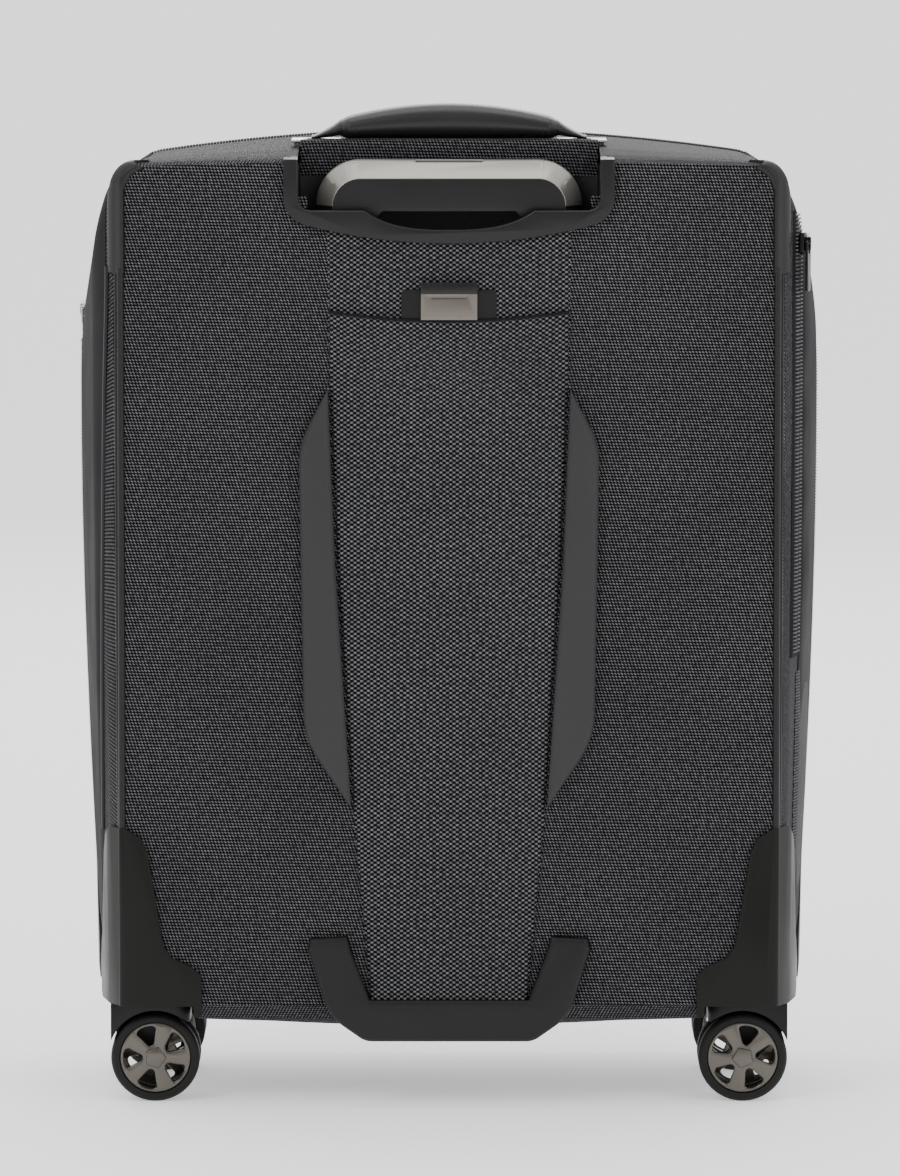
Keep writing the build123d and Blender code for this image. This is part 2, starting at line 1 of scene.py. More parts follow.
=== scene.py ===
# %% [markdown]
# # A softside cabin suitcase
# The case stands on four twin-wheel casters with its back panel towards the camera. The hard frame was
# made first, as solid parts in millimetres. This lesson loads it as a fixed frame and dresses it: woven
# cover, piping, zips, moulded plastic, leather-like trim and metal.

import json
import math

import bpy
import numpy as np
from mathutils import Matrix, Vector, noise

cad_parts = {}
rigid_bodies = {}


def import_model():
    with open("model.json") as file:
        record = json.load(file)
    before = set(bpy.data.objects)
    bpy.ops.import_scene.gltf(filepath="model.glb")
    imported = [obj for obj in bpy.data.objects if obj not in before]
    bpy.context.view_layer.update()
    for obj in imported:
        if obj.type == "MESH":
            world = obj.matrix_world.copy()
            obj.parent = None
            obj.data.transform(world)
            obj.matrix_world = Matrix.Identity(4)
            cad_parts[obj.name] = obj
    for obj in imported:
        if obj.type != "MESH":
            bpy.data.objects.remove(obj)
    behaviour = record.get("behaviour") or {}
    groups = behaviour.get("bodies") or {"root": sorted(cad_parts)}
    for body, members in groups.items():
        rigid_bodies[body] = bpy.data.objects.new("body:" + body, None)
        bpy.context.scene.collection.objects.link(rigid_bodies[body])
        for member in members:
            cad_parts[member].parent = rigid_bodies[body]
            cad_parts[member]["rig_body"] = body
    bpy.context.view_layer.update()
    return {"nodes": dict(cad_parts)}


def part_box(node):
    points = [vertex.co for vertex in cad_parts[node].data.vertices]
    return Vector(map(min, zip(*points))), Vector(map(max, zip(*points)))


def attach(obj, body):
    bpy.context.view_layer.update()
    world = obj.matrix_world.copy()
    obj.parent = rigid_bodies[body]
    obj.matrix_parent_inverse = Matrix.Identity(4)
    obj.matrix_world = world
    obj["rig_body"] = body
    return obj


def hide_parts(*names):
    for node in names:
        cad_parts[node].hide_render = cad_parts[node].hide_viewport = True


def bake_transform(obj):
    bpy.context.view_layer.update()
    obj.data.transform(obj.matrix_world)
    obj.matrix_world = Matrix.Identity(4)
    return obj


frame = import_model()
nodes = frame["nodes"]

# %% [markdown]
# ## Small tools
# Blender's operators act on everything that is selected, so each step starts by deselecting. A piece is
# finished when its object sits at the origin, unturned and unscaled, with its place in its mesh.


# %% Tools for picking and finishing
def start_clean():
    if bpy.context.object and bpy.context.object.mode != "OBJECT":
        bpy.ops.object.mode_set(mode="OBJECT")
    bpy.ops.object.select_all(action="DESELECT")


def only(piece):
    start_clean()
    piece.select_set(True)
    bpy.context.view_layer.objects.active = piece


def settle(piece):
    """Writes the object's place into its mesh."""
    only(piece)
    bpy.ops.object.transform_apply(location=True, rotation=True, scale=True)


def apply_all(piece):
    only(piece)
    for modifier in list(piece.modifiers):
        bpy.ops.object.modifier_apply(modifier=modifier.name)


def finish_piece(piece, name, body, material, slot, nodes_replaced=(), angle=40):
    """Applies what is left, smooths, names, colours and hangs a piece on its body."""
    apply_all(piece)
    settle(piece)
    bpy.ops.object.shade_smooth_by_angle(angle=math.radians(angle))
    piece.name = name
    if material:
        piece.data.materials.clear()
        piece.data.materials.append(material)
    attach(piece, body)
    if nodes_replaced:
        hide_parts(*nodes_replaced)
    return piece


def get_points(piece):
    flat = np.empty(len(piece.data.vertices) * 3)
    piece.data.vertices.foreach_get("co", flat)
    return flat.reshape(-1, 3)


def set_points(piece, points):
    piece.data.vertices.foreach_set("co", np.asarray(points, float).ravel())
    piece.data.update()


def ease(low, high, value):
    """0 below low, 1 above high, smooth between."""
    t = np.clip((value - low) / (high - low), 0, 1)
    return t * t * (3 - 2 * t)


# %% [markdown]
# ## Finishes
# Every finish starts from what the real one is. Colours are written as sRGB hex values, as a colour
# picker gives them, and one function turns them into the linear values the shader wants.


# %% Tools for materials
def hex_colour(code):
    channels = [int(code[i : i + 2], 16) / 255 for i in (0, 2, 4)]
    linear = [c / 12.92 if c <= 0.04045 else ((c + 0.055) / 1.055) ** 2.4 for c in channels]
    return (*linear, 1.0)


def add_node(tree, kind, links=(), **settings):
    """Adds a node, sets its values and links its inputs: links holds (input, output socket)."""
    node = tree.nodes.new(kind)
    for key, value in settings.items():
        setattr(node, key, value)
    for key, source in links:
        if isinstance(source, bpy.types.NodeSocket):
            tree.links.new(source, node.inputs[key])
        else:
            node.inputs[key].default_value = source
    return node


def new_finish(name, roughness, metallic=0.0, coat=0.0, sheen=0.0, level=0.5):
    material = bpy.data.materials.new(name)
    material.use_nodes = True
    tree = material.node_tree
    shader = tree.nodes["Principled BSDF"]
    shader.inputs["Roughness"].default_value = roughness
    shader.inputs["Metallic"].default_value = metallic
    shader.inputs["Coat Weight"].default_value = coat
    shader.inputs["Sheen Weight"].default_value = sheen
    shader.inputs["Specular IOR Level"].default_value = level
    return material, tree, shader


def colour_mix(tree, factor, first, second):
    """The colour between first and second at factor."""
    node = tree.nodes.new("ShaderNodeMix")
    node.data_type = "RGBA"
    for index, value in ((0, factor), (6, first), (7, second)):
        if isinstance(value, bpy.types.NodeSocket):
            tree.links.new(value, node.inputs[index])
        else:
            node.inputs[index].default_value = value
    return node.outputs[2]


# %% [markdown]
# ### Woven nylon
# Ballistic nylon is a heavy plain weave. Each crossing is painted with a short bright crown of thread,
# a painted highlight, with painted shade in the dark gaps round it. Two sine waves, one along each
# thread direction, multiplied together, give crowns that step aside from row to row. They read the
# piece's own UV map, which is laid out in metres, so the weave follows the cloth round every corner. A
# crown stands at every half wave, so waves of 2.9 by 2.1 mm put the crowns about 1.5 by 1 mm apart, a
# little coarser than real cloth, as they need to be to show. A share of one wave, squared, joins the
# crowns into slanting ribs. A fine noise scatters painted glints over the crowns. The shader itself
# hardly shines: the bright thread is painted highlight, and the nearly black gaps are painted shade.


# %% Weave materials
# dark is painted shade in the gaps between threads, light is a painted highlight on the thread crowns
def woven(name, dark, light, pitch, roughness=0.55, depth=0.35, turn=0.0, twill=0.0):
    material, tree, shader = new_finish(name, roughness, level=0.03)
    uv = add_node(tree, "ShaderNodeUVMap", uv_map="cloth")
    turned = add_node(
        tree, "ShaderNodeVectorRotate", [("Vector", uv.outputs[0]), ("Angle", turn)],
        rotation_type="Z_AXIS",
    )
    split = add_node(tree, "ShaderNodeSeparateXYZ", [(0, turned.outputs[0])])
    waves = []
    for axis, step in zip((0, 1), pitch):
        scaled = add_node(
            tree, "ShaderNodeMath", [(0, split.outputs[axis]), (1, 2 * math.pi / step)],
            operation="MULTIPLY",
        )
        waves.append(add_node(tree, "ShaderNodeMath", [(0, scaled.outputs[0])], operation="SINE"))
    plain_weave = add_node(
        tree, "ShaderNodeMath", [(0, waves[0].outputs[0]), (1, waves[1].outputs[0])],
        operation="MULTIPLY",
    )
    ribs = add_node(
        tree, "ShaderNodeMath", [(0, waves[1].outputs[0]), (1, waves[1].outputs[0])],
        operation="MULTIPLY",
    )
    rib_height = add_node(
        tree, "ShaderNodeMath", [(0, ribs.outputs[0]), (1, 2 * twill), (2, -twill)],
        operation="MULTIPLY_ADD",
    )
    crossing = add_node(
        tree, "ShaderNodeMath",
        [(0, plain_weave.outputs[0]), (1, 1 - twill), (2, rib_height.outputs[0])],
        operation="MULTIPLY_ADD",
    )
    # crown is the painted highlight mask: full on the thread crowns, nothing in the gaps, where painted
    # shade falls
    crown = add_node(
        tree, "ShaderNodeMapRange",
        [("Value", crossing.outputs[0]), ("From Min", -0.35), ("From Max", 0.95)],
        interpolation_type="SMOOTHSTEP",
    )
    # a fine noise that scatters painted glints over the crowns
    glint_noise = add_node(
        tree, "ShaderNodeTexNoise", [("Vector", uv.outputs[0]), ("Scale", 420.0), ("Detail", 1.0)]
    )
    cloud = add_node(
        tree, "ShaderNodeTexNoise", [("Vector", uv.outputs[0]), ("Scale", 14.0), ("Detail", 3.0)]
    )
    glint_strength = add_node(
        tree, "ShaderNodeMapRange",
        [("Value", glint_noise.outputs[0]), ("From Min", 0.3), ("From Max", 0.75),
         ("To Min", 0.45), ("To Max", 1.25)],
    )
    painted_glint = add_node(
        tree, "ShaderNodeMath", [(0, crown.outputs[0]), (1, glint_strength.outputs[0])],
        operation="MULTIPLY", use_clamp=True,
    )
    # the colour runs from painted shade in the gaps to a painted highlight on the crowns
    glint_and_shade_colour = colour_mix(tree, painted_glint.outputs[0], hex_colour(dark), hex_colour(light))
    wash = add_node(
        tree, "ShaderNodeMapRange",
        [("Value", cloud.outputs[0]), ("From Min", 0.3), ("From Max", 0.7),
         ("To Min", 0.0), ("To Max", 0.18)],
    )
    toned = colour_mix(tree, wash.outputs[0], glint_and_shade_colour, hex_colour(dark))
    tree.links.new(toned, shader.inputs["Base Color"])
    bump = add_node(
        tree, "ShaderNodeBump",
        [("Height", crossing.outputs[0]), ("Strength", depth), ("Distance", min(pitch) * 0.22)],
    )
    tree.links.new(bump.outputs[0], shader.inputs["Normal"])
    return material


# for each weave the first colour is painted shade in the gaps, the second a painted highlight on the crowns
ballistic_nylon = woven(
    "ballistic nylon, woven", "050506", "747478", (0.0029, 0.0021), turn=math.radians(37),
    twill=0.32,
)
coarse_nylon = woven(
    "coarse ballistic nylon, woven", "060607", "78787c", (0.0036, 0.0026), depth=0.5
)
print("weaves:", ballistic_nylon.name, coarse_nylon.name)


# %% [markdown]
# ### Plain finishes
# Moulded plastic has a fine grain that breaks its highlights. A noise in Object coordinates drives both
# a small bump and a little change in roughness, at a grain size given in millimetres. Moulded plastics
# and trim spread their highlights over a soft patch. Plated and anodised metals mirror the lights in a
# narrow band. Cloth, thread and tyre rubber give almost no highlight at all.


# %% Plain materials
def plain(name, colour, roughness, grain_mm=0.6, grain=0.12, second=None, uneven=0.08, **more):
    material, tree, shader = new_finish(name, roughness, **more)
    place = add_node(tree, "ShaderNodeTexCoord")
    fine = add_node(
        tree, "ShaderNodeTexNoise",
        [("Vector", place.outputs["Object"]), ("Scale", 1000 / grain_mm / 2), ("Detail", 2.0)],
    )
    broad = add_node(
        tree, "ShaderNodeTexNoise",
        [("Vector", place.outputs["Object"]), ("Scale", 18.0), ("Detail", 3.0)],
    )
    tint = colour_mix(
        tree, broad.outputs[0], hex_colour(colour), hex_colour(second or colour)
    )
    tree.links.new(tint, shader.inputs["Base Color"])
    rough = add_node(
        tree, "ShaderNodeMapRange",
        [("Value", broad.outputs[0]), ("From Min", 0.25), ("From Max", 0.75),
         ("To Min", max(0.02, roughness - uneven)), ("To Max", roughness + uneven)],
    )
    tree.links.new(rough.outputs[0], shader.inputs["Roughness"])
    bump = add_node(
        tree, "ShaderNodeBump",
        [("Height", fine.outputs[0]), ("Strength", grain), ("Distance", grain_mm / 4000)],
    )
    tree.links.new(bump.outputs[0], shader.inputs["Normal"])
    return material


# cloth and trim: a dull weave, and a coat that shines where it bends
smooth_nylon = plain("nylon taffeta, fine woven", "18181a", 0.66, 0.5, 0.5, "1d1d1f", level=0.04)
coated_trim = plain("coated trim, fine leather grain", "0d0d0e", 0.42, 0.9, 0.35, "121213", level=0.3)
grip_leather = plain("grip cover, fine leather grain", "19191a", 0.38, 1.1, 0.35, "1f1f20", level=0.35)
# moulded plastics: even black or grey, with soft bright edges
guard_plastic = plain("moulded polypropylene, satin", "181817", 0.40, 0.5, 0.18, "1e1e1d", level=0.10)
skid_plastic = plain("moulded ABS, satin grey", "2c2c2d", 0.40, 0.35, 0.12, "303031", level=0.2)
bracket_plastic = plain("moulded polypropylene, matt", "0b0b0b", 0.42, 0.4, 0.22, "101010", level=0.28)
bezel_plastic = plain("moulded ABS, satin black", "1c1c1c", 0.30, 0.4, 0.12, "212121", level=0.2)
fork_plastic = plain("moulded nylon, matt black", "0c0c0c", 0.46, 0.4, 0.2, "101010", level=0.25)
# paints and metals: warm grey bands of light, sharpest on the plated parts
grip_paint = plain("gunmetal paint, satin", "8f8c86", 0.34, 0.15, 0.05, "98958e", metallic=0.75)
grip_front = plain("grip insert, satin black", "121212", 0.36, 0.4, 0.15, "161616", level=0.3)
button_paint = plain("gunmetal paint, dark satin", "4a4947", 0.32, 0.15, 0.05, "504f4c", metallic=0.6)
tube_metal = plain("aluminium, anodised", "8b8c8e", 0.28, 0.2, 0.06, metallic=0.9)
rim_paint = plain("gunmetal enamel, satin", "595550", 0.27, 0.2, 0.05, "66625c", metallic=0.85)
bright_metal = plain("zinc die casting, nickel plated", "d8d6d2", 0.16, 0.2, 0.03, metallic=1.0)
brushed_plate = plain("steel plate, brushed", "6f6963", 0.30, 0.12, 0.10, metallic=0.85)
black_enamel = plain("black enamel", "050505", 0.20, 0.3, 0.03)
dark_zinc = plain("zinc, black plated", "1a1a1a", 0.3, 0.2, 0.05, metallic=0.8)
# rubber, zip coil, lining, board and thread: matt, told apart by how dark they are
tyre_rubber = plain("polyurethane tyre, matt", "0a0a0a", 0.60, 0.4, 0.2, "161614", level=0.25)
coil_nylon = plain("zip coil, nylon monofilament", "454548", 0.34, 0.2, 0.1, "505053", level=0.45)
lining_cloth = plain("lining, plain woven polyester", "1e1e20", 0.7, 0.4, 0.5, "242427", sheen=0.1)
board = plain("stiffening board, polypropylene", "0c0c0c", 0.5, 0.5, 0.2, level=0.25)
thread = plain("sewing thread, bonded nylon", "2c2c2e", 0.6, 0.2, 0.2, level=0.3)

# %% [markdown]
# ## The form of the case
# The cover is flat at the back, turns a rounded shoulder, widens towards the zips and closes again over
# the lid. Its outline at each depth is a rounded box with a crowned top, bulging sides and a raised
# floor over the casters. One function gives that outline, so the cover, lining, piping and zips all
# follow the same form.

# %% The outline at each depth
# depth, half width at the belt, half width at the floor, top, corner reach across and down, crown
STATIONS = np.array(
    [
        (-0.0940, 0.1785, 0.1790, 0.5195, 0.010, 0.012, 0.0020),
        (-0.0900, 0.1830, 0.1812, 0.5215, 0.013, 0.016, 0.0025),
        (-0.0830, 0.1875, 0.1840, 0.5235, 0.020, 0.028, 0.0035),
        (-0.0620, 0.1940, 0.1885, 0.5265, 0.030, 0.060, 0.0060),
        (0.0000, 0.2010, 0.1925, 0.5280, 0.038, 0.100, 0.0090),
        (0.0620, 0.2068, 0.1962, 0.5290, 0.045, 0.130, 0.0110),
        (0.0760, 0.2045, 0.1945, 0.5280, 0.045, 0.130, 0.0110),
        (0.0860, 0.1990, 0.1905, 0.5255, 0.045, 0.125, 0.0110),
        (0.0900, 0.1930, 0.1860, 0.5215, 0.042, 0.120, 0.0100),
    ]
)
FLOOR, BELLY_X, OVER_CASTERS = 0.0475, 0.1375, 0.0590
BELT = 0.375  # height where the sides are widest


def station(depth):
    return [np.interp(depth, STATIONS[:, 0], STATIONS[:, i]) for i in range(1, 7)]


def floor_height(x, depth):
    """The sagging belly: lowest in the middle, curling up at the back and the front."""
    sag = 0.0080 * (1 - (x / BELLY_X) ** 2) * ease(-0.095, -0.060, depth)
    curl = 0.0090 * (1 - ease(-0.0945, -0.084, depth)) + 0.0080 * ease(0.080, 0.090, depth)
    return FLOOR - sag + curl


def side_x(z, depth, inset=0.0):
    """Half width of the case at a height, without its top corner."""
    belt, foot, top = station(depth)[:3]
    rise = np.clip((z - OVER_CASTERS) / (BELT - OVER_CASTERS), 0, 1.6)
    return foot + (belt - foot) * np.sin(np.minimum(rise, 1) * math.pi / 2) - inset


COUNTS = {"belly": 12, "step": 3, "shelf": 6, "heel": 5, "side": 40, "corner": 14, "top": 26}


def half_outline(depth, inset=0.0):
    """Points up the right side, from the middle of the floor to the middle of the top."""
    belt, foot, top, reach_x, reach_z, crown = station(depth)
    top -= inset
    points = []
    belly = BELLY_X - inset
    for t in np.linspace(0, 1, COUNTS["belly"], endpoint=False):
        points.append((belly * t, floor_height(belly * t, depth) + inset))
    low, shelf = floor_height(belly, depth) + inset, OVER_CASTERS + inset
    shelf = max(shelf, low + 0.002)
    for t in np.linspace(0, 1, COUNTS["step"], endpoint=False):
        points.append((belly + 0.001 * t, low + (shelf - low) * t))
    heel = 0.006
    out = side_x(shelf + heel, depth, inset)
    for t in np.linspace(0, 1, COUNTS["shelf"], endpoint=False):
        points.append((belly + 0.001 + (out - heel - belly - 0.001) * t, shelf))
    for t in np.linspace(0, math.pi / 2, COUNTS["heel"], endpoint=False):
        points.append((out - heel + heel * math.sin(t), shelf + heel - heel * math.cos(t)))
    start, stop = shelf + heel, top - reach_z
    for t in np.linspace(0, 1, COUNTS["side"], endpoint=False):
        z = start + (stop - start) * t
        points.append((side_x(z, depth, inset), z))
    edge = side_x(stop, depth, inset)
    reach = reach_x
    for t in np.linspace(0, math.pi / 2, COUNTS["corner"], endpoint=False):
        points.append((edge - reach + reach * math.cos(t), stop + reach_z * math.sin(t)))
    for t in np.linspace(0, 1, COUNTS["top"]):
        points.append(((edge - reach) * (1 - t), top))
    points = np.array(points)
    lift = ease(0.30, 0.52, points[:, 1])
    points[:, 1] -= crown * (points[:, 0] / 0.156) ** 2 * lift
    return points


outline_kept = {}


def skin_x(z, depth, inset=0.0):
    """Half width of the case at a height, with its rounded and drooping top corner."""
    key = (round(depth, 4), round(inset, 4))
    if key not in outline_kept:
        start = COUNTS["belly"] + COUNTS["step"] + COUNTS["shelf"] + COUNTS["heel"]
        part = half_outline(*key)[start : start + COUNTS["side"] + COUNTS["corner"]]
        outline_kept[key] = np.maximum.accumulate(part[:, 1]), part[:, 0]
    return float(np.interp(z, *outline_kept[key]))


def outline(depth, inset=0.0):
    """The whole closed outline as x, z pairs, from the middle of the floor and round."""
    right = half_outline(depth, inset)
    left = right[1:-1][::-1] * (-1, 1)
    return np.vstack([right, left])


ring_size = len(outline(0.0))
print("points round the case:", ring_size, "half width at the belt:", side_x(0.375, 0.062))


# %% [markdown]
# A sheet that goes round the case starts as a grid primitive, whose rows are bent to the outline. The
# grid's UV map is rewritten in metres of cloth, so the weave keeps its size on every side.


# %% Sheets that follow the form
def cloth_grid(name, columns, rows, place):
    """A grid primitive whose vertex (column, row) goes to place(column, row) = point, uv."""
    start_clean()
    bpy.ops.mesh.primitive_grid_add(x_subdivisions=columns - 1, y_subdivisions=rows - 1, size=1)
    piece = bpy.context.object
    piece.name = name
    start = get_points(piece)
    across = np.rint((start[:, 0] + 0.5) * (columns - 1)).astype(int)
    along = np.rint((start[:, 1] + 0.5) * (rows - 1)).astype(int)
    table = [[place(i, j) for j in range(rows)] for i in range(columns)]
    set_points(piece, [table[i][j][0] for i, j in zip(across, along)])
    layer = piece.data.uv_layers[0]
    layer.name = "cloth"
    for loop in piece.data.loops:
        i, j = across[loop.vertex_index], along[loop.vertex_index]
        layer.data[loop.index].uv = table[i][j][1]
    return piece


def wrap(name, depths, inset=0.0, span=None, lift=None):
    """A sheet round the case at the given depths; span picks part of the outline by its index."""
    rings = [outline(d, inset) for d in depths]
    if span is None:
        span = list(range(ring_size)) + [0]
    lengths = np.zeros(len(span))
    middle = rings[len(rings) // 2][span]
    lengths[1:] = np.cumsum(np.linalg.norm(np.diff(middle, axis=0), axis=1))
    travel = np.zeros(len(depths))
    step = [np.linalg.norm((b - a), axis=1).max() for a, b in zip(rings, rings[1:])]
    travel[1:] = np.cumsum(np.hypot(np.diff(depths), step))

    def place(i, j):
        x, z = rings[j][span[i]]
        point = [x, depths[j], z]
        if lift:
            point = lift(point)
        return point, (lengths[i], travel[j])

    piece = cloth_grid(name, len(span), len(depths), place)
    if len(span) == ring_size + 1:
        only(piece)
        bpy.ops.object.mode_set(mode="EDIT")
        bpy.ops.mesh.select_all(action="SELECT")
        bpy.ops.mesh.remove_doubles(threshold=0.00001)
        bpy.ops.object.mode_set(mode="OBJECT")
    return piece


def face_outwards(piece, outwards=lambda centre: Vector((centre.x, 0, centre.z - 0.28))):
    """Turns the sheet so that its faces look away from the inside of the case."""
    score = sum(f.normal.dot(outwards(f.center)) for f in piece.data.polygons)
    if score < 0:
        only(piece)
        bpy.ops.object.mode_set(mode="EDIT")
        bpy.ops.mesh.select_all(action="SELECT")
        bpy.ops.mesh.flip_normals()
        bpy.ops.object.mode_set(mode="OBJECT")
    return piece


def thicken(piece, thickness):
    """Gives a sheet its thickness, inwards from the side that its faces look to."""
    modifier = piece.modifiers.new("thickness", "SOLIDIFY")
    modifier.thickness = thickness
    modifier.offset = -1
    return piece


# %% [markdown]
# ## Keeping the handle recess open
# The pull handle sits in a recess in the top edge. A box primitive cuts the sheets there, so the moulded
# bezel shows through them.


# %% A cutter for the recess
def cut_box(piece, low, high):
    """Cuts a box-shaped opening in a piece."""
    start_clean()
    middle = [(a + b) / 2 for a, b in zip(low, high)]
    bpy.ops.mesh.primitive_cube_add(size=1, location=middle)
    cutter = bpy.context.object
    cutter.scale = [b - a for a, b in zip(low, high)]
    settle(cutter)
    cut = piece.modifiers.new("opening", "BOOLEAN")
    cut.object = cutter
    cut.solver = "EXACT"
    apply_all(piece)
    start_clean()
    cutter.select_set(True)
    bpy.ops.object.delete()
    return piece


RECESS = ((-0.0862, -0.0930, 0.4790), (0.0862, -0.0476, 0.5600))
RECESS_TOP = ((-0.0822, -0.1200, 0.4790), (0.0822, -0.0476, 0.5600))
OPENINGS = (
    ((-0.0770, -0.12, 0.4885), (0.0770, -0.0900, 0.5600)),
    ((-0.0862, -0.12, 0.5010), (0.0862, -0.0900, 0.5600)),
    ((-0.0440, -0.12, 0.4790), (0.0440, -0.0900, 0.5000)),
)

# %% [markdown]
# ## The rear tray
# The tray's side is one strip of fabric round the case, from the back edge to the zip. It has a dense
# grid so that it can carry the rounded shoulder.

# %% Tray cover, frame boards and lining
tray_depths = [-0.094, -0.0925, -0.09, -0.0865, -0.083, -0.077, -0.07, -0.062] + list(
    np.linspace(-0.052, 0.0620, 15)
)


def soft_lift(point):
    """Small hollows and swells in the stretched cloth."""
    x, y, z = point
    swell = noise.noise(Vector((x * 9, y * 14, z * 9))) * 0.0007
    hold = ease(-0.094, -0.08, y) * (1 - ease(0.045, 0.062, y))
    away = Vector((x, 0, (z - 0.28) * 0.6)).normalized()
    return [x + away.x * swell * hold, y, z + away.z * swell * hold]


tray = face_outwards(wrap("tray", tray_depths, lift=soft_lift))
thicken(tray, 0.0025)
cut_box(tray, *RECESS_TOP)
finish_piece(tray, "tray_cover", "case", ballistic_nylon, "shell_fabric", ["rear_cover"])

boards = face_outwards(wrap("boards", [-0.088, -0.080, -0.07, -0.062, 0.0, 0.060], inset=0.0032))
thicken(boards, 0.0020)
cut_box(boards, *RECESS)
finish_piece(boards, "tray_boards", "case", board, "frame_board", ["rear_frame"])

lining = face_outwards(wrap("lining", [-0.070, -0.062, -0.03, 0.0, 0.03, 0.060], inset=0.0056))
thicken(lining, 0.0010)
cut_box(lining, *RECESS)
finish_piece(lining, "tray_lining", "case", lining_cloth, "lining_fabric", ["rear_lining"])
print("tray faces:", len(tray.data.polygons))

# %% [markdown]
# ## Flat panels
# The back panel and the lid are flat sheets with the outline of the case. A grid primitive is fitted
# to the outline, with a pair of close columns where the underside steps up over the casters.


# %% A panel that fills the outline
def panel(name, depth, rows=90, inset=0.0, puff=0.0, facing=-1):
    belt, foot, top, reach_x, reach_z, crown = station(depth)
    top, stop = top - inset, top - inset - reach_z
    edge = side_x(stop, depth, inset)
    step = (BELLY_X - inset) / edge
    half = list(np.linspace(0, step, 34)) + list(np.linspace(step + 0.001, 1, 16))
    across = [-u for u in half[:0:-1]] + half

    def place(i, j):
        u, v = across[i], j / (rows - 1)
        x = abs(u) * edge
        low = OVER_CASTERS + inset if abs(u) > step else floor_height(x, depth) + inset
        over = max(0.0, x - (edge - reach_x)) / reach_x
        high = stop + reach_z * math.sqrt(max(0.0, 1 - over**2))
        z = low + (high - low) * v
        z -= crown * (x / 0.156) ** 2 * ease(0.30, 0.52, z)
        x = u * side_x(z, depth, inset)
        swell = (1 - abs(u) ** 6) * (1 - abs(2 * v - 1) ** 6)
        wave = noise.noise(Vector((x * 12, depth, z * 12))) * 0.0005
        return [x, depth + facing * swell * (puff + wave), z], (x, z)

    piece = cloth_grid(name, len(across), rows, place)
    return face_outwards(piece, lambda centre: Vector((0, facing, 0)))


# %% [markdown]
# ## The back panel
# The back panel is one piece of woven nylon on a board. It lies almost flat between the piping.

# %% Back panel
back_panel = panel("back_panel", -0.0940, puff=0.0006)
thicken(back_panel, 0.0014)
for opening in OPENINGS:
    cut_box(back_panel, *opening)
finish_piece(back_panel, "back_panel", "case", ballistic_nylon, "shell_fabric")
print("back panel faces:", len(back_panel.data.polygons))

# %% [markdown]
# ## The sleeve over the handle tubes
# Two pieces of coarser cloth cover the tubes. The lower one is an open pocket with a turned hem, and the
# upper one tucks in behind it. Their side edges are rolled under and sewn down.

# %% Sleeve panels
SLEEVE_Z = (0.0600, 0.0620, 0.1560, 0.2990, 0.3980, 0.4380, 0.5000)
SLEEVE_X = (0.0430, 0.0432, 0.0520, 0.0610, 0.0650, 0.0660, 0.0665)


def sleeve_sheet(name, z_low, z_high, rows, height, roll, dip=0.0):
    columns = 81

    def place(i, j):
        v = j / (rows - 1)
        u = 2 * i / (columns - 1) - 1
        u = math.copysign(abs(u) ** 0.8, u)
        z = z_low + (z_high - z_low) * v
        half = np.interp(z, SLEEVE_Z, SLEEVE_X)
        x = u * half
        hem = dip * (1 - u * u) * ease(0.85, 1.0, v)
        away = min(1.0, (half - abs(x)) / roll)
        rise = height * math.sqrt(1 - (1 - away) ** 2)
        wave = noise.noise(Vector((x * 16, 3.0, z * 9))) * 0.0005 * away
        return [x, -0.0942 - rise - wave, z - hem], (x, z)

    piece = cloth_grid(name, columns, rows, place)
    return face_outwards(piece, lambda centre: Vector((0, -1, 0)))


sleeve_upper = sleeve_sheet("sleeve_upper", 0.4300, 0.4950, 30, 0.0012, 0.003)
thicken(sleeve_upper, 0.0008)
for opening in (OPENINGS[0], OPENINGS[2]):
    cut_box(sleeve_upper, *opening)
finish_piece(sleeve_upper, "sleeve_upper", "case", coarse_nylon, "panel_fabric", ["sleeve_panel"])
sleeve_lower = sleeve_sheet("sleeve_lower", 0.0560, 0.4380, 130, 0.0028, 0.0035, dip=0.005)
thicken(sleeve_lower, 0.0009)
finish_piece(sleeve_lower, "sleeve_lower", "case", coarse_nylon, "panel_fabric")
print("sleeve faces:", len(sleeve_lower.data.polygons))

# %% [markdown]
# ## Cords and stitches
# Piping is a cord wrapped in trim and sewn into a seam, so it is a curve with a round bevel, turned into
# a mesh. A row of stitches is one small rounded thread, modelled once and repeated along a line.


# %% Tools for cords and rows
def cord_along(points, radius, resolution=4):
    curve = bpy.data.curves.new("cord", "CURVE")
    curve.dimensions = "3D"
    curve.bevel_depth = radius
    curve.bevel_resolution = resolution
    curve.use_fill_caps = True
    spline = curve.splines.new("POLY")
    spline.points.add(len(points) - 1)
    for slot, point in zip(spline.points, points):
        slot.co = (*point, 1)
    cord = bpy.data.objects.new("cord", curve)
    bpy.context.scene.collection.objects.link(cord)
    only(cord)
    bpy.ops.object.convert(target="MESH")
    return bpy.context.object


def even_points(points, pitch):
    """Points at an even pitch along a line, each with the line's direction there."""
    points = np.asarray(points, float)
    travel = np.r_[0, np.cumsum(np.linalg.norm(np.diff(points, axis=0), axis=1))]
    stops = np.arange(pitch / 2, travel[-1], pitch)
    found = np.stack([np.interp(stops, travel, points[:, k]) for k in range(3)], axis=1)
    ahead = np.stack([np.interp(stops + pitch / 4, travel, points[:, k]) for k in range(3)], axis=1)
    behind = np.stack([np.interp(stops - pitch / 4, travel, points[:, k]) for k in range(3)], axis=1)
    way = ahead - behind
    return found, way / np.linalg.norm(way, axis=1)[:, None]


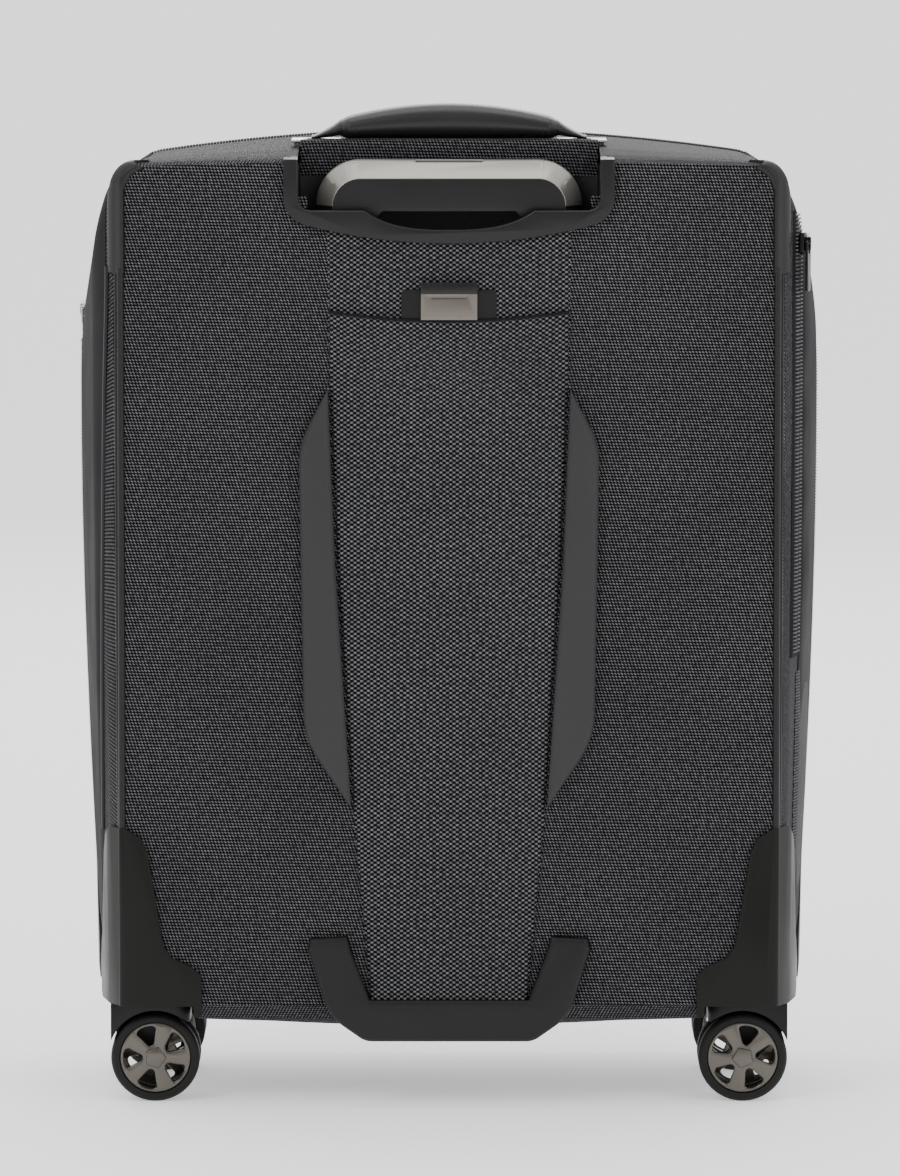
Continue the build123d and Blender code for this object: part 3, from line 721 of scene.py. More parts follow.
def repeat_along(bead, points, pitch, outwards, name):
    """One mesh that holds a copy of the bead at every pitch: its X runs along the line, its Z outwards."""
    found, way = even_points(points, pitch)
    out = np.asarray([outwards(p) for p in found], float)
    out -= (out * way).sum(1)[:, None] * way
    out /= np.maximum(np.linalg.norm(out, axis=1), 1e-9)[:, None]
    across = np.cross(out, way)
    shape = get_points(bead)
    corners = (
        found[:, None]
        + shape[None, :, :1] * way[:, None]
        + shape[None, :, 1:2] * across[:, None]
        + shape[None, :, 2:] * out[:, None]
    )
    faces = [tuple(f.vertices) for f in bead.data.polygons]
    count = len(shape)
    every = [tuple(k * count + v for v in f) for k in range(len(found)) for f in faces]
    mesh = bpy.data.meshes.new(name)
    mesh.from_pydata(corners.reshape(-1, 3).tolist(), [], every)
    piece = bpy.data.objects.new(name, mesh)
    bpy.context.scene.collection.objects.link(piece)
    return piece


def small_bead(length, width, height, segments=6, rings=4):
    """A rounded grain, a few dozen faces, lying along X."""
    start_clean()
    bpy.ops.mesh.primitive_uv_sphere_add(segments=segments, ring_count=rings, radius=0.5)
    bead = bpy.context.object
    bead.rotation_euler = (0, math.pi / 2, 0)
    settle(bead)
    bead.scale = (length, width, height)
    settle(bead)
    return bead


def join(pieces):
    start_clean()
    for piece in pieces:
        piece.select_set(True)
    bpy.context.view_layer.objects.active = pieces[0]
    bpy.ops.object.join()
    return bpy.context.object


def remove(piece):
    only(piece)
    bpy.ops.object.delete()


# %% [markdown]
# The seams of the sleeve lie just inside its edges, and the hem has one row below its fold.

# %% Sleeve seams
stitch = small_bead(0.0019, 0.0005, 0.0004)
seam_rows = []
for side in (-1, 1):
    line = [
        (side * (np.interp(z, SLEEVE_Z, SLEEVE_X) + 0.0011), -0.0950, z)
        for z in np.linspace(0.0640, 0.4340, 60)
    ]
    seam_rows.append(repeat_along(stitch, line, 0.0030, lambda p: (0, -1, 0), "seam"))
sleeve_stitches = finish_piece(
    join(seam_rows), "sleeve_stitches", "case", thread, "panel_fabric"
)
hem_line = [
    (u * 0.0655, -0.0970, 0.4380 - 0.0050 * (1 - u * u) - 0.0001) for u in np.linspace(-1, 1, 60)
]
hem = cord_along(hem_line, 0.0008)
finish_piece(hem, "sleeve_hem", "case", smooth_nylon, "panel_fabric")
print("stitches:", len(sleeve_stitches.data.polygons) // 24)

# %% [markdown]
# ## Piping and corner wraps
# Piping runs up each side of the back panel, from the caster guard to the corner wrap. The wrap is a
# strip of coated trim moulded over the top corner.


# %% Piping down the back edges
def outline_part(depth, z_low, z_high, inset=0.0, side=1, x_stop=0.0):
    """Points of one side of the outline between two heights, from the bottom up."""
    ring = half_outline(depth, inset)
    tall = ring[COUNTS["belly"] + COUNTS["step"] + COUNTS["shelf"] :]
    chosen = [(x, z) for x, z in tall if z_low <= z <= z_high and x >= x_stop]
    first = (side_x(z_low, depth, inset), z_low)
    return [(side * x, depth, z) for x, z in [first] + chosen]


piping = []
for side in (-1, 1):
    piping.append(cord_along(outline_part(-0.0940, 0.1480, 0.4620, -0.0002, side), 0.0020))
    seam_tape = outline_part(-0.0915, 0.1480, 0.4620, 0.0002, side)
    piping.append(cord_along(seam_tape, 0.0012))
finish_piece(join(piping), "edge_piping_cord", "case", coated_trim, "piping_trim", ["edge_piping"])

# %% [markdown]
# Each wrap is a short sheet whose long edges follow the outline at nine depths, so that it turns over
# the back edge. It could be cut from a rounded box, but then it would not follow the drooping corner.

# %% Corner wraps
wraps = []
for side in (-1, 1):
    edges = [outline_part(d, 0.4590, 0.60, inset, side, 0.158) for d, inset in (
        (-0.0944, 0.0024), (-0.0957, 0.0016), (-0.0960, 0.0006), (-0.0953, -0.0006),
        (-0.0940, -0.0014), (-0.0920, -0.0017), (-0.0895, -0.0016), (-0.0872, -0.0010),
        (-0.0865, 0.0004))]
    count = min(len(e) for e in edges)

    def corner_place(i, j):
        point = edges[j][i]
        return list(point), (point[2], point[1])

    sheet = cloth_grid("wrap", count, len(edges), corner_place)
    face_outwards(sheet, lambda centre: Vector((side, -0.7, 0.5)))
    thicken(sheet, 0.0012)
    apply_all(sheet)
    wraps.append(sheet)
finish_piece(join(wraps), "corner_wraps_trim", "case", coated_trim, "leather_trim", ["corner_wraps"])
print("piping and wraps done")

# %% [markdown]
# ## Moulded parts
# The guards, bracket, bezel, forks and skid bars are hard mouldings whose shape the frame already has.
# What it lacks is what a mould gives: rounded edges that catch the light. Each is copied, its corners
# merged and its flat faces cleaned, and a bevel modifier rounds the edges. The bezel's upper walls are
# trimmed to the height where the top cloth takes over.


# %% A copy with rounded edges
def polished(node, material, slot, bevel_mm, name, edge=28, segments=3, soft_edges=None, soft_mm=4):
    """soft_edges(a, b) picks edges, by their two ends, that get a larger radius first."""
    piece = bpy.data.objects.new(name, nodes[node].data.copy())
    bpy.context.scene.collection.objects.link(piece)
    only(piece)
    bpy.ops.object.mode_set(mode="EDIT")
    bpy.ops.mesh.select_all(action="SELECT")
    bpy.ops.mesh.remove_doubles(threshold=0.00002)
    bpy.ops.mesh.dissolve_limited(angle_limit=math.radians(0.6))
    bpy.ops.mesh.normals_make_consistent(inside=False)
    bpy.ops.mesh.select_all(action="DESELECT")
    bpy.ops.object.mode_set(mode="OBJECT")
    if soft_edges:
        corners = piece.data.vertices
        for line in piece.data.edges:
            line.select = soft_edges(*[corners[v].co for v in line.vertices])
        only(piece)
        bpy.ops.object.mode_set(mode="EDIT")
        bpy.ops.mesh.select_mode(type="EDGE")
        bpy.ops.mesh.bevel(offset=soft_mm / 1000, segments=5, clamp_overlap=False)
        bpy.ops.mesh.select_mode(type="VERT")
        bpy.ops.object.mode_set(mode="OBJECT")
    if bevel_mm:
        bevel = piece.modifiers.new("rounded edges", "BEVEL")
        bevel.width = bevel_mm / 1000
        bevel.segments = segments
        bevel.limit_method = "ANGLE"
        bevel.angle_limit = math.radians(edge)
        bevel.use_clamp_overlap = False
    body = nodes[node]["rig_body"]
    finish_piece(piece, name, body, material, slot, [node], angle=38)
    return piece


polished("skid_bars", skid_plastic, "skid_plastic", 0.6, "skid_bars_moulded")
polished("lift_bracket", bracket_plastic, "bracket_plastic", 0.5, "lift_bracket_moulded")
bezel = polished("handle_bezel", bezel_plastic, "bezel_plastic", 0.9, "handle_bezel_moulded")
BEZEL_WALL_TOP = 0.5165
cut_box(bezel, (-0.1, -0.0905, BEZEL_WALL_TOP), (0.1, -0.04, 0.56))
only(bezel)
bpy.ops.object.shade_smooth_by_angle(angle=math.radians(38))


def back_corner(a, b):
    """The long upright edges of the guards, where the back face turns to the side."""
    near = all(p.y < -0.0955 and 0.172 < abs(p.x) < 0.188 for p in (a, b))
    return near and abs(a.z - b.z) > 0.02


polished(
    "rear_guards", guard_plastic, "guard_plastic", 0.5, "rear_guards_moulded",
    soft_edges=back_corner, soft_mm=8,
)
polished("front_guards", guard_plastic, "guard_plastic", 0.5, "front_guards_moulded")
polished("handle_anchors", bright_metal, "anchor_metal", 0.4, "handle_anchor_plates")
CASTERS = [f"{end}_{side}" for end in ("rear", "front") for side in ("left", "right")]
for caster in CASTERS:
    polished(f"{caster}_fork", fork_plastic, "fork_plastic", 0.5, f"{caster}_fork_moulded")
print("mouldings done")

# %% [markdown]
# ## The pull handle
# The grip is a painted metal bar with a black insert on its face. Its faces are sorted by their normals:
# those that look straight back take the insert's finish. In the frame the grip is hollow, and its hollow
# breaks through the rounded corners. The copy's inner walls are deleted and the gaps filled. The tubes
# are drawn aluminium and stay as they are in the frame, with the metal's finish.


# %% Pull grip, button and tubes
def paint_faces(piece, materials, choose):
    """Gives each face the material that choose(face) picks."""
    piece.data.materials.clear()
    for material in materials:
        piece.data.materials.append(material)
    for face in piece.data.polygons:
        face.material_index = choose(face)


HOLLOW_LOW, HOLLOW_HIGH = (-0.0650, -0.0855, 0.4930), (0.0650, -0.0620, 0.5080)


def close_hollow(piece, low, high):
    """Deletes the faces that lie inside the box and fills the gaps they leave."""
    inside = [
        all(a <= c <= b for a, c, b in zip(low, corner.co, high)) for corner in piece.data.vertices
    ]
    for part in (*piece.data.vertices, *piece.data.edges):
        part.select = False
    for face in piece.data.polygons:
        face.select = all(inside[v] for v in face.vertices)
    walls = sum(face.select for face in piece.data.polygons)
    only(piece)
    bpy.ops.object.mode_set(mode="EDIT")
    bpy.ops.mesh.select_mode(type="FACE")
    bpy.ops.mesh.delete(type="FACE")
    bpy.ops.mesh.select_mode(type="VERT")
    bpy.ops.mesh.select_all(action="SELECT")
    bpy.ops.mesh.fill_holes(sides=0)
    bpy.ops.mesh.normals_make_consistent(inside=False)
    bpy.ops.mesh.select_all(action="DESELECT")
    bpy.ops.object.mode_set(mode="OBJECT")
    bpy.ops.object.shade_smooth_by_angle(angle=math.radians(38))
    print("inner walls deleted:", walls)


grip = polished("trolley_grip", grip_paint, "grip_metal", 0.5, "pull_grip", edge=50)
close_hollow(grip, HOLLOW_LOW, HOLLOW_HIGH)
paint_faces(grip, (grip_paint, grip_front), lambda f: int(
    f.normal.y < -0.96 or f.normal.z < -0.3 or f.center.z < 0.4940))
polished("release_button", button_paint, "button_metal", 0.5, "release_button_cap")
for node in ("trolley_outer_tubes", "trolley_middle_tubes", "trolley_inner_tubes"):
    nodes[node].data.materials.clear()
    nodes[node].data.materials.append(tube_metal)
for node, material in (("back_board", board), ("screws", bright_metal)):
    nodes[node].data.materials.clear()
    nodes[node].data.materials.append(material)
print("pull handle done")

# %% [markdown]
# ## The address tag
# The tag is a brushed plate clipped over the sleeve's hem. Its top third is enamelled black.

# %% Tag
tag = polished("address_tag", brushed_plate, "tag_metal", 0.3, "address_tag_plate")
only(tag)
bpy.ops.object.mode_set(mode="EDIT")
bpy.ops.mesh.select_all(action="SELECT")
bpy.ops.mesh.bisect(plane_co=(0, 0, 0.4478), plane_no=(0, 0, 1))
bpy.ops.object.mode_set(mode="OBJECT")
paint_faces(
    tag, (brushed_plate, black_enamel, board),
    lambda f: 2 if f.center.y > -0.0968 else int(f.center.z > 0.4480 and f.normal.y < -0.3),
)

# %% [markdown]
# ## The carry handle
# The carry handle is a padded crescent in fine leather-like trim, thick in the middle, whose flat ends
# run down into two anchor plates. A grid primitive is rolled into a tube along X, given rows of edges,
# and its rows are moved and scaled to the crescent.

# %% Carry handle
start_clean()
bpy.ops.mesh.primitive_grid_add(x_subdivisions=96, y_subdivisions=40, size=1)
carry = bpy.context.object
flat = get_points(carry)
along, around = flat[:, 0] * 2, flat[:, 1] * 2 * math.pi
CARRY_HALF, CARRY_Y = 0.0755, -0.0350
x = along * CARRY_HALF
neck = ease(0.0555, 0.0600, np.abs(x))
strap_run = np.clip((np.abs(x) - 0.0600) / 0.0145, 0, 1)
grip_top = 0.5486 - 0.0075 * (x / 0.058) ** 2
strap_top = 0.5395 - 0.0085 * strap_run**0.8
grip_low = 0.5290 - 0.0002 * np.abs(x)
strap_low = 0.5305 - 0.0015 * strap_run
top_line = grip_top * (1 - neck) + strap_top * neck
low_line = grip_low * (1 - neck) + strap_low * neck
tall = top_line - low_line
depth_half = 0.0128 * (1 - neck) + 0.0086 * neck
middle = (top_line + low_line) / 2
swirl = np.sign(np.cos(around)) * np.abs(np.cos(around)) ** 0.85
points = np.stack([x, CARRY_Y + depth_half * np.sin(around), middle + tall / 2 * swirl], axis=1)
set_points(carry, points)
only(carry)
bpy.ops.object.mode_set(mode="EDIT")
bpy.ops.mesh.select_all(action="SELECT")
bpy.ops.mesh.remove_doubles(threshold=0.00002)
bpy.ops.mesh.select_all(action="DESELECT")
bpy.ops.mesh.select_non_manifold()
bpy.ops.mesh.edge_face_add()
bpy.ops.mesh.select_all(action="SELECT")
bpy.ops.mesh.normals_make_consistent(inside=False)
bpy.ops.object.mode_set(mode="OBJECT")
finish_piece(carry, "carry_grip", "top_handle", grip_leather, "leather_trim", ["carry_handle"])

# %% [markdown]
# Two rows of stitches cross the grip near each end, where its cover closes.

# %% Carry handle seams
carry_rows = []
for place_x in (-0.0545, -0.0515, 0.0515, 0.0545):
    near = np.abs(points[:, 0] - place_x) < 0.0009
    belt_row = points[near]
    order = np.argsort(np.arctan2(belt_row[:, 1] - CARRY_Y, belt_row[:, 2] - 0.538))
    loop = belt_row[order]
    loop = np.c_[np.full(len(loop), place_x), loop[:, 1:]]
    carry_rows.append(
        repeat_along(stitch, loop, 0.0030, lambda p: (0, p[1] - CARRY_Y, p[2] - 0.538), "row")
    )
finish_piece(join(carry_rows), "carry_stitches", "top_handle", thread, "leather_trim")
remove(stitch)

# %% [markdown]
# ## The cloth behind the recess
# Between the two anchors the top cloth comes down over the back wall of the recess, so what shows above
# the pull grip is weave. It is a grid bent over the wall's edge.

# %% Cloth over the recess wall
strip_path = np.array(
    [(-0.0530, 0.5100), (-0.0531, 0.5200), (-0.0529, 0.5262), (-0.0520, 0.5288), (-0.0500, 0.5298),
     (-0.0470, 0.5299), (-0.0440, 0.5296), (-0.0400, 0.5286)]
)
strip_run = np.r_[0, np.cumsum(np.linalg.norm(np.diff(strip_path, axis=0), axis=1))]


def strip_place(i, j):
    u = 2 * i / 60 - 1
    x = u * 0.0815
    sag = 0.0006 * (1 - u**8)
    return [x, strip_path[j, 0] + 0.0003, strip_path[j, 1] - 0.0008 + sag], (x, strip_run[j])


strip = face_outwards(cloth_grid("strip", 61, len(strip_path), strip_place), lambda c: Vector((0, -1, 1)))
thicken(strip, 0.0006)
finish_piece(strip, "recess_cloth", "case", ballistic_nylon, "panel_fabric")

# %% [markdown]
# ## Side bands and the second piping
# On the pull side a second, thinner cord leaves the wrap and drifts outwards on its way down. In front
# of it the cloth is a smooth, fine nylon, sewn over the tray as a separate band.

# %% Second piping and smooth side bands
def side_sheet(name, side, rows_at, columns_at, lift):
    """A thin sheet over one side: heights in rows_at, depths in columns_at(height), raised by lift."""
    count = len(columns_at(rows_at[0]))

    def place(i, j):
        z = rows_at[j]
        depth = columns_at(z)[i]
        out = lift(i / (count - 1), j / (len(rows_at) - 1), z)
        return [side * skin_x(z, depth, -out), depth, z], (depth, z)

    piece = cloth_grid(name, count, len(rows_at), place)
    return face_outwards(piece, lambda centre: Vector((side, 0, 0)))


def second_depth(z):
    return -0.0855 + 0.0200 * (1 - np.clip((z - 0.150) / 0.31, 0, 1)) ** 1.3


heights = np.linspace(0.078, 0.462, 70)
second = [(-skin_x(z, second_depth(z), -0.0002), second_depth(z), z) for z in heights if z > 0.150]
finish_piece(
    cord_along(second, 0.0014), "side_piping_cord", "case", coated_trim, "piping_trim"
)


def band_lift(u, v, z):
    edge = min(u, 1 - u, v * 4, (1 - v) * 4)
    return 0.0002 + 0.0010 * ease(0, 0.08, edge)


def band_depths(z):
    """The smooth band starts at the second piping, or at the corner wrap above it."""
    start = -0.0840 if z > 0.4550 else second_depth(z) + 0.001
    return np.linspace(start, 0.0605, 30)


band_heights = np.r_[np.linspace(0.078, 0.440, 60), np.linspace(0.446, 0.517, 30)]
for side, name in ((-1, "smooth_band_left"), (1, "smooth_band_right")):
    chosen = band_depths if side < 0 else lambda z: np.linspace(-0.064, 0.0605, 30)
    band = side_sheet(name, side, band_heights, chosen, band_lift)
    thicken(band, 0.0008)
    finish_piece(band, name, "case", smooth_nylon, "shell_fabric")
print("side bands done")

# %% [markdown]
# ## Zips
# A coil zip is a row of nylon loops on each of two tapes. One tooth is modelled as a small rounded bead
# and repeated round the case at the coil's pitch. The sliders are die-cast metal and ride on the rows.

# %% Zip rows round the case
def outline_line(depth, inset, start=0, stop=None):
    ring = outline(depth, inset)
    ring = np.vstack([ring, ring[:1]]) if stop is None else ring[start:stop]
    return np.array([(x, depth, z) for x, z in ring])


def away_from_middle(point):
    return (point[0], 0.0, point[2] - 0.28)


def zip_row(name, depth, body, nodes_replaced, gap_right=False):
    """Teeth at a depth. gap_right leaves the lid's hinge side without them."""
    ring = outline_line(depth, -0.0006)
    if gap_right:
        first = next(k for k, p in enumerate(ring) if p[0] > 0.15 and p[2] > 0.100)
        last = max(k for k, p in enumerate(ring) if p[0] > 0.15 and p[2] < 0.470)
        ring = np.vstack([ring[last:], ring[: first + 1]])
    teeth = repeat_along(tooth, ring, 0.0017, away_from_middle, name)
    return finish_piece(teeth, name, body, coil_nylon, "zip_coil", nodes_replaced)


tooth = small_bead(0.0011, 0.0017, 0.0020, 6, 3)
zip_row("expander_coil_rear", 0.0629, "case", ["expander_zip_rear"])
zip_row("expander_coil_front", 0.0651, "front_section", ["expander_zip_front"])
zip_row("main_coil_ring_side", 0.0737, "front_section", ["main_zip_ring_side"], True)
zip_row("main_coil_lid_side", 0.0753, "lid", ["main_zip_lid_side"], True)
remove(tooth)
print("zip rows done")

# %% [markdown]
# ## The side pocket
# The pocket on the other side is a soft patch that bulges a little, closed by a wide coil zip along its
# back edge. Its sheet swells in the middle and is gathered flat along its seams.

# %% Side pocket, its zip and its seam
pocket_rows = np.linspace(0.238, 0.492, 60)


def pocket_lift(u, v, z):
    swell = (1 - (2 * u - 1) ** 4) * (1 - abs(2 * v - 1) ** 5)
    pleat = 0.0006 * math.sin(v * 37) * (1 - u) ** 2 * swell
    return 0.0004 + 0.0022 * swell + pleat


pocket = side_sheet("pocket", 1, pocket_rows, lambda z: np.linspace(-0.0660, 0.0420, 50), pocket_lift)
thicken(pocket, 0.0010)
finish_piece(pocket, "side_pocket_cloth", "case", smooth_nylon, "shell_fabric", ["side_pocket"])

leaf = side_sheet(
    "leaf", 1, np.linspace(0.080, 0.238, 40), lambda z: np.linspace(-0.0700, 0.0400, 30),
    lambda u, v, z: 0.0003 + 0.0032 * (1 - (2 * u - 1) ** 2) * v**1.5 * (1 - v) * 4,
)
thicken(leaf, 0.0010)
finish_piece(leaf, "side_lower_cloth", "case", ballistic_nylon, "shell_fabric")

tape = side_sheet(
    "tape", 1, np.linspace(0.247, 0.492, 60), lambda z: np.linspace(-0.0835, -0.0665, 14),
    lambda u, v, z: 0.0006 * ease(0, 0.1, min(u, 1 - u)) + 0.0001,
)
thicken(tape, 0.0008)
finish_piece(tape, "pocket_zip_tape", "case", smooth_nylon, "zip_coil", ["side_pocket_zip"])
pocket_tooth = small_bead(0.0014, 0.0046, 0.0030, 6, 3)
rows = []
for depth in (-0.0790, -0.0722):
    line = [(skin_x(z, depth, -0.0010), depth, z) for z in np.linspace(0.249, 0.490, 60)]
    rows.append(repeat_along(pocket_tooth, line, 0.0021, lambda p: (1, -0.8, 0), "pocket_coil"))
remove(pocket_tooth)
finish_piece(join(rows), "pocket_coil", "case", coil_nylon, "zip_coil")
print("side pocket done")

# %% [markdown]
# ## Sliders and pulls
# The sliders and pulls keep the frame's shape, with rounded edges and a bright or black plating.

# %% Sliders and pulls
for node, material, slot in (
    ("main_slider_upper", bright_metal, "zip_metal"),
    ("main_slider_lower", bright_metal, "zip_metal"),
    ("main_pull_upper", bright_metal, "zip_metal"),
    ("main_pull_lower", bright_metal, "zip_metal"),
    ("side_pocket_slider", dark_zinc, "zip_black"),
    ("side_pocket_pull", dark_zinc, "zip_black"),
):
    polished(node, material, slot, 0.25, f"{node}_plated", segments=2)

# %% [markdown]
# ## The front section
# In front of the expander zip there is a narrow ring of the same nylon, stiffened by a board. A sleeve
# of plain lining cloth joins it to the tray, and shows when the expander is open.

# %% Front ring and gusset
ring_depths = [0.0662, 0.0670, 0.0685, 0.0700, 0.0715, 0.0724, 0.0729]
ring_cover = face_outwards(wrap("ring", ring_depths, inset=-0.0002))
thicken(ring_cover, 0.0025)
finish_piece(
    ring_cover, "front_ring_cover", "front_section", ballistic_nylon, "shell_fabric", ["front_cover"]
)

ring_board = face_outwards(wrap("ring_board", [0.0664, 0.0690, 0.0720], inset=0.0032))
thicken(ring_board, 0.0020)
finish_piece(ring_board, "front_ring_board", "front_section", board, "frame_board", ["front_frame"])


def straight_wrap(name, source_depth, inset, depths, pleat):
    """A sleeve with one constant outline, drawn straight forwards."""
    section = outline(source_depth, inset)
    loop = list(range(ring_size)) + [0]
    length = np.r_[0, np.cumsum(np.linalg.norm(np.diff(section[loop], axis=0), axis=1))]

    def place(i, j):
        x, z = section[loop[i]]
        away = Vector((x, 0, z - 0.28)).normalized() * pleat * math.sin(j * 1.3)
        return [x + away.x, depths[j], z + away.z], (length[i], depths[j])

    piece = cloth_grid(name, len(loop), len(depths), place)
    only(piece)
    bpy.ops.object.mode_set(mode="EDIT")
    bpy.ops.mesh.select_all(action="SELECT")
    bpy.ops.mesh.remove_doubles(threshold=0.00001)
    bpy.ops.object.mode_set(mode="OBJECT")
    return face_outwards(piece)


gusset = straight_wrap("gusset", 0.026, 0.0088, np.linspace(0.026, 0.0715, 24), 0.0002)
thicken(gusset, 0.0010)
finish_piece(gusset, "expander_sleeve", "front_section", lining_cloth, "lining_fabric", ["expander_gusset"])
print("front section done")

# %% [markdown]
# ## The lid and its pockets
# The lid is a shallow tray of nylon with a rounded rim and a flat front. Two padded pockets sit on it.
# Each is a grid whose edges are drawn down to the lid and whose middle is crowned, with a piped seam.

# %% Lid
lid_depths = [0.0761, 0.0768, 0.0780, 0.0800, 0.0820, 0.0840, 0.0860, 0.0876, 0.0888, 0.0896, 0.0900]
lid_rim = face_outwards(wrap("lid_rim", lid_depths))
thicken(lid_rim, 0.0024)
finish_piece(lid_rim, "lid_rim_cloth", "lid", ballistic_nylon, "shell_fabric", ["lid_cover"])
lid_front = panel("lid_front", 0.0900, rows=80, facing=1)
thicken(lid_front, 0.0020)
finish_piece(lid_front, "lid_front_cloth", "lid", ballistic_nylon, "shell_fabric")
lid_stiffener = panel("lid_stiffener", 0.0870, rows=30, inset=0.0045, facing=1)
thicken(lid_stiffener, 0.0018)
finish_piece(lid_stiffener, "lid_stiffener", "lid", lining_cloth, "frame_board", ["lid_board"])

lid_piping = cord_along([tuple(p) for p in outline_line(0.0893, 0.0002)], 0.0018)
finish_piece(lid_piping, "lid_piping_cord", "lid", coated_trim, "piping_trim")


# %% [markdown]
# The two pockets are padded sheets sewn to the lid's front. Each is crowned in the middle and drawn
# down at its seams by moving its vertices. A cloth simulation could puff them up, too.

# %% Padded front pockets
def pillow(name, half, z_low, z_high, corner, depth, crown, material):
    """A padded pocket on the lid: a rounded outline, edges drawn down, a crowned middle."""
    columns, rows = 90, 70
    tall, middle = (z_high - z_low) / 2, (z_high + z_low) / 2

    def place(i, j):
        u, v = 2 * i / (columns - 1) - 1, 2 * j / (rows - 1) - 1
        bend = corner / half * (1 - math.sqrt(max(0.0, 1 - v**12)))
        x = u * half * (1 - bend)
        z = middle + v * tall * (1 - corner / tall * (1 - math.sqrt(max(0.0, 1 - u**12))))
        edge = min((1 - abs(u)) * half, (1 - abs(v)) * tall)
        rise = depth * math.sin(min(1.0, edge / 0.016) * math.pi / 2)
        fill = crown * (1 - u**4) * (1 - v**4)
        wave = noise.noise(Vector((x * 14, 7.0, z * 14))) * 0.0010 * min(1.0, edge / 0.03)
        return [x, 0.0903 + rise + fill + wave, z], (x, z)

    piece = face_outwards(cloth_grid(name, columns, rows, place), lambda centre: Vector((0, 1, 0)))
    thicken(piece, 0.0012)
    return finish_piece(piece, name, "lid", material, "shell_fabric")


upper_pocket = pillow("upper_pocket", 0.170, 0.372, 0.496, 0.024, 0.0068, 0.0026, ballistic_nylon)
lower_pocket = pillow("lower_pocket", 0.172, 0.074, 0.362, 0.024, 0.0068, 0.0028, ballistic_nylon)
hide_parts("front_pockets")
seams = []
for half, z_high in ((0.160, 0.4820), (0.162, 0.3480)):
    line = [(x, 0.0982, z_high) for x in np.linspace(-half, half, 40)]
    seams.append(cord_along(line, 0.0012))
finish_piece(join(seams), "pocket_mouth_zips", "lid", coil_nylon, "zip_coil")
print("lid done")

# %% [markdown]
# ## The lid's fabric hinge
# Along the hinge side the zip stops and a strip of nylon joins the lid to the ring. On the real case it
# bends as the lid opens; here it is one still sheet that lies along the ring at one edge and the lid at the
# other.

# %% Hinge strip
hinge_rows = np.linspace(0.104, 0.466, 60)
hinge_strip = side_sheet(
    "hinge", 1, hinge_rows, lambda z: np.linspace(0.0712, 0.0786, 9),
    lambda u, v, z: 0.0004 + 0.0009 * (1 - (2 * u - 1) ** 2),
)
thicken(hinge_strip, 0.0006)
apply_all(hinge_strip)
hinge_strip.name = "lid_hinge_strip"
hinge_strip.data.materials.append(ballistic_nylon)
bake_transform(hinge_strip)
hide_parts("lid_hinge_tape")
print("hinge strip done")

# %% [markdown]
# ## The wheels
# Each caster carries two wheels. A wheel is a tyre round a rim with five wide, flared spokes. The rim's
# face starts as a disc, and five rounded windows are cut through it. A bevel then rounds the spokes'
# edges, and a five-sided cap closes the hub. The rim is modelled once, lying on the origin, and copied.

# %% One rim
RIM_R, FACE_T = 0.0197, 0.0030


def disc(radius, depth, middle, vertices=96):
    start_clean()
    bpy.ops.mesh.primitive_cylinder_add(
        vertices=vertices, radius=radius, depth=depth, location=middle, rotation=(math.pi / 2, 0, 0)
    )
    piece = bpy.context.object
    settle(piece)
    return piece


def boolean(piece, tool, way="DIFFERENCE"):
    step = piece.modifiers.new("cut", "BOOLEAN")
    step.object, step.operation, step.solver = tool, way, "EXACT"
    apply_all(piece)
    remove(tool)


def window(angle):
    """A rounded window between two spokes, as a prism through the rim's face."""
    corners = [(0.0083, 13), (0.0120, 17), (0.0160, 19.5), (0.0172, 17)]
    ring = corners + [(0.0176, 9), (0.0177, 0), (0.0176, -9)]
    ring += [(r, -h) for r, h in reversed(corners)] + [(0.0072, -6), (0.0072, 6)]
    flat = [
        (r * math.cos(math.radians(angle + h)), r * math.sin(math.radians(angle + h))) for r, h in ring
    ]
    mesh = bpy.data.meshes.new("window")
    mesh.from_pydata([(x, -0.01, z) for x, z in flat], [], [tuple(range(len(flat)))])
    tool = bpy.data.objects.new("window", mesh)
    bpy.context.scene.collection.objects.link(tool)
    only(tool)
    bpy.ops.object.mode_set(mode="EDIT")
    bpy.ops.mesh.select_all(action="SELECT")
    bpy.ops.mesh.extrude_region_move(TRANSFORM_OT_translate={"value": (0, 0.03, 0)})
    bpy.ops.mesh.select_all(action="SELECT")
    bpy.ops.mesh.normals_make_consistent(inside=False)
    bpy.ops.object.mode_set(mode="OBJECT")
    return tool


face_disc = disc(RIM_R, FACE_T, (0, -0.0033, 0))
for k in range(5):
    boolean(face_disc, window(126 + 72 * k))
edges = face_disc.modifiers.new("rounded edges", "BEVEL")
edges.width, edges.segments, edges.limit_method = 0.0009, 3, "ANGLE"
edges.angle_limit, edges.use_clamp_overlap = math.radians(40), False
apply_all(face_disc)
lip = disc(RIM_R, 0.0092, (0, 0, 0))
boolean(lip, disc(RIM_R - 0.0013, 0.03, (0, 0, 0)))
soften = lip.modifiers.new("rounded edges", "BEVEL")
soften.width, soften.segments, soften.angle_limit = 0.0005, 3, math.radians(60)
apply_all(lip)
hub = disc(0.0056, 0.0086, (0, 0.0002, 0), 48)
cap = disc(0.0062, 0.0014, (0, -0.0052, 0), 5)
cap_edges = cap.modifiers.new("rounded edges", "BEVEL")
cap_edges.width, cap_edges.segments = 0.0007, 4
apply_all(cap)
rim = join([face_disc, lip, hub, cap])
boolean(rim, disc(0.00256, 0.0060, (0, 0.0030, 0), 32))
print("rim faces:", len(rim.data.polygons))

# %% [markdown]
# Copies of the rim go to the eight wheels. The outer ones of each pair face away from the fork, so the
# wheels in front of the fork are turned half round.

